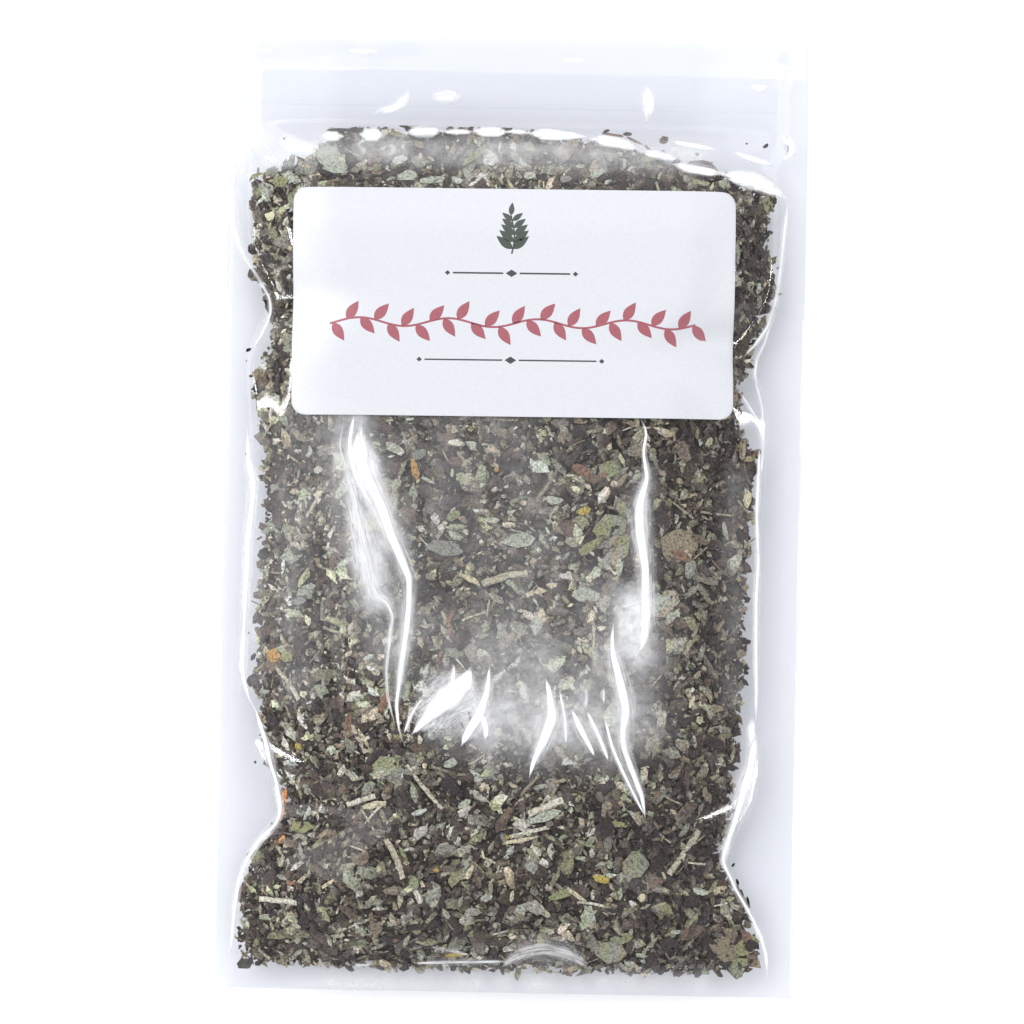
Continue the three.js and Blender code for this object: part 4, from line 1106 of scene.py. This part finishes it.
def leafPrint(length, width):  # a flat leaf from its stem end along +X, as small plates
    share = np.linspace(0.0, 1.0, 8)
    half = 0.5 * width * np.sin(np.pi * share**0.8) + 0.02
    plates = []
    for k in range(len(share) - 1):
        a, b = length * share[k], length * share[k + 1]
        plates.append([(a, 0.0), (b, 0.0), (b, half[k + 1]), (a, half[k])])
        plates.append([(a, 0.0), (a, -half[k]), (b, -half[k + 1]), (b, 0.0)])
    return plates


def printed(name, shapes, ink, thick=0.015):  # flat outlines, laid on the label as thin closed plates
    points, faces = [], []
    for shape in shapes:
        flat = np.stack(turnedWithLabel(*np.array(shape).T), axis=-1)
        z = labelBase(flat[:, 0], flat[:, 1]) + label["thick"] + 0.008
        start = len(points)
        points += [(a, b, c + thick) for (a, b), c in zip(flat, z)]
        points += [(a, b, c) for (a, b), c in zip(flat, z)]
        faces += tubeFaces(start, 2, len(flat), True)
    piece = meshObject(name, points, faces, ink, False)
    return finish(piece, "paper")


def placedLeaf(plates, x, y, degrees, scale=1.0):
    turn = math.radians(degrees)
    c, s = scale * math.cos(turn), scale * math.sin(turn)
    return [[(x + a * c - b * s, y + a * s + b * c) for a, b in plate] for plate in plates]


def stroke(line, width):  # a thin line as short quads, so that it follows the paper
    line = np.array(line)
    way = np.gradient(line, axis=0)
    way /= np.linalg.norm(way, axis=1)[:, None]
    side = np.stack([-way[:, 1], way[:, 0]], axis=-1) * width / 2
    shapes = []
    for k in range(len(line) - 1):
        quad = [line[k] - side[k], line[k + 1] - side[k + 1], line[k + 1] + side[k + 1], line[k] + side[k]]
        shapes.append([tuple(p) for p in quad])
    return shapes


def makeSprig():
    stem = [(-0.9 + 0.5 * math.sin(k / 3.0), 52.6 + 0.72 * k) for k in range(12)]
    shapes = stroke(stem, 0.32)
    for k, (x, y) in enumerate(stem[1:10:2]):
        size = 1.0 - 0.09 * k
        for side in (-1, 1):
            shapes += placedLeaf(leafPrint(4.2, 1.7), x, y + 0.3, 90 - side * 52, size)
    shapes += placedLeaf(leafPrint(3.4, 1.4), *stem[-1], 84, 0.8)
    return shapes


garland = dict(
    leaves=27, y=38.4, swing=0.85, wave=2.9, left=-38.0, right=37.0, firstLeaf=-37.4, leavesOver=73.8,
)


def vineAt(a):
    return garland["y"] + garland["swing"] * math.sin(a / garland["wave"])


def makeGarland():
    g = garland
    shapes = stroke([(a, vineAt(a)) for a in np.linspace(g["left"], g["right"], 160)], 0.42)
    for k in range(g["leaves"]):
        a = g["firstLeaf"] + g["leavesOver"] * k / (g["leaves"] - 1)
        side = 1 if k % 2 else -1
        shapes += placedLeaf(leafPrint(4.4, 2.1), a, vineAt(a), side * 57 if k % 4 < 2 else side * 48)
    return shapes


def makeRules():
    shapes = []
    for y, half, width in ((48.6, 12.0, 0.34), (30.8, 17.6, 0.3)):
        for low, high in ((-half - 0.9, -2.6), (0.8, half - 0.9)):
            shapes += stroke([(a, y) for a in np.linspace(low, high, 14)], width)
        shapes.append([(-2.1, y), (-0.9, y - 0.75), (0.3, y), (-0.9, y + 0.75)])
        for a in (-half - 2.0, half + 0.2):
            shapes.append([(a - 0.55, y), (a, y - 0.5), (a + 0.55, y), (a, y + 0.5)])
    return shapes


printed("labelSprig", makeSprig(), greenInk)
printed("labelGarland", makeGarland(), redInk)
printed("labelRules", makeRules(), darkInk)
print("label printed")


# the grip seal: a rib on one film, two jaws on the other, with fine guide ridges

zipSeal = dict(length=107.0, half=4.5, flange=0.22, wall=0.98, crushed=3.0, steps=54)


def sweepAcross(name, section, material):
    stations = np.linspace(-zipSeal["length"] / 2, zipSeal["length"] / 2, zipSeal["steps"])
    points, end = [], zipSeal["crushed"]
    for x in stations:
        crush = 1.0 - 0.75 * smooth(np.array((abs(x) - zipSeal["length"] / 2 + end) / end))
        points += [(x, pouch["zipAt"] + a, pouch["sealHeight"] + b * crush) for a, b in section]
    return meshObject(name, points, tubeFaces(0, len(stations), len(section)), material, False)


def zipSection(sign):
    s = zipSeal
    outer, inner = s["wall"], s["wall"] - s["flange"]
    back = [(-s["half"], outer), (s["half"], outer)]
    ridges = []
    for at in (3.6, 2.7):
        ridges += [(at + 0.12, inner), (at, inner - 0.16), (at - 0.12, inner)]
    if sign > 0:
        middle = [(0.3, inner), (0.22, -0.35), (0.34, -0.55), (0.0, -0.72), (-0.34, -0.55), (-0.22, -0.35),
                  (-0.3, inner)]
    else:
        middle = [(0.95, inner), (0.85, -0.5), (0.5, -0.62), (0.62, inner), (-0.62, inner), (-0.5, -0.62),
                  (-0.85, -0.5), (-0.95, inner)]
    left = [(-a, b) for a, b in reversed(ridges)]
    section = back + [(s["half"], inner)] + ridges + middle + left + [(-s["half"], inner)]
    section = [(a, sign * b) for a, b in section]
    return section[::-1] if sign < 0 else section


finish(sweepAcross("zipRib", zipSection(1), zipMaterial), "zip_plastic", "zip_rib_strip")
finish(sweepAcross("zipGroove", zipSection(-1), zipMaterial), "zip_plastic", "zip_groove_strip")


# the surface, the light and the camera

studio = dict(
    world=0.61, worldColour=(0.97, 0.98, 1.0), floorColour=(0.93, 0.93, 0.94), floorPale=(0.95, 0.95, 0.96),
    floorGlow=0.11, floorAt=-0.0003,
)


def makeFloor():
    bpy.ops.mesh.primitive_plane_add(size=6.0, location=(0.0, 0.0, studio["floorAt"]))
    floor = bpy.context.object
    floor.name = "floor"
    paint = Paint("paleFloor")
    colour = paint.ramp(paint.noise(3.0), ((0.0, studio["floorColour"]), (1.0, studio["floorPale"])))
    shader = paint.solid(colour, 0.9)
    shader.node.inputs["Emission Color"].default_value = (1.0, 1.0, 1.0, 1.0)
    shader.node.inputs["Emission Strength"].default_value = studio["floorGlow"]
    floor.data.materials.append(paint.done(shader))


def areaLight(name, spot, target, size, power, colour=(1.0, 1.0, 1.0)):
    data = bpy.data.lights.new(name, "AREA")
    data.shape, data.size, data.size_y = "RECTANGLE", *size
    data.energy, data.color = power, colour
    lamp = bpy.data.objects.new(name, data)
    scene.collection.objects.link(lamp)
    lamp.location = spot
    lamp.rotation_euler = (Vector(target) - Vector(spot)).to_track_quat("-Z", "Y").to_euler()
    lamp.visible_camera = False


makeFloor()
world = bpy.data.worlds.new("studio")
world.use_nodes = True
world.node_tree.nodes["Background"].inputs["Color"].default_value = (*studio["worldColour"], 1.0)
world.node_tree.nodes["Background"].inputs["Strength"].default_value = studio["world"]
scene.world = world

areaLight("keyLight", (-0.95, 0.7, 1.25), (0.0, 0.0, 0.0), (1.5, 1.5), 17.5)
areaLight("fillLight", (0.5, 1.05, 1.2), (0.0, 0.0, 0.0), (1.6, 1.2), 7.5)
for name, side in (("leftStrip", -1), ("rightStrip", 1)):
    areaLight(name, (side * 1.06, -0.43, 0.3), (0.0, -0.43, 0.01), (1.05, 0.05), 5.0)

photoView = dict(lens=152.5, sensor=36.0, farthest=10.0, place=(0.0001, -0.00026, 0.906), turn=1.1)
camera = bpy.data.cameras.new("camera")
camera.lens, camera.sensor_width = photoView["lens"], photoView["sensor"]
camera.clip_end = photoView["farthest"]
cameraObject = bpy.data.objects.new("camera", camera)
scene.collection.objects.link(cameraObject)
cameraObject.location = photoView["place"]
cameraObject.rotation_euler = (0.0, 0.0, math.radians(photoView["turn"]))
scene.camera = cameraObject
scene.view_settings.view_transform = "Standard"
scene.cycles.transparent_max_bounces = 32
scene.cycles.max_bounces, scene.cycles.diffuse_bounces, scene.cycles.glossy_bounces = 4, 2, 1

for shelf in (crumbShapes, chipShapes, stalkShapes):
    for piece in list(shelf.objects):
        bpy.data.objects.remove(piece)
    bpy.data.collections.remove(shelf)
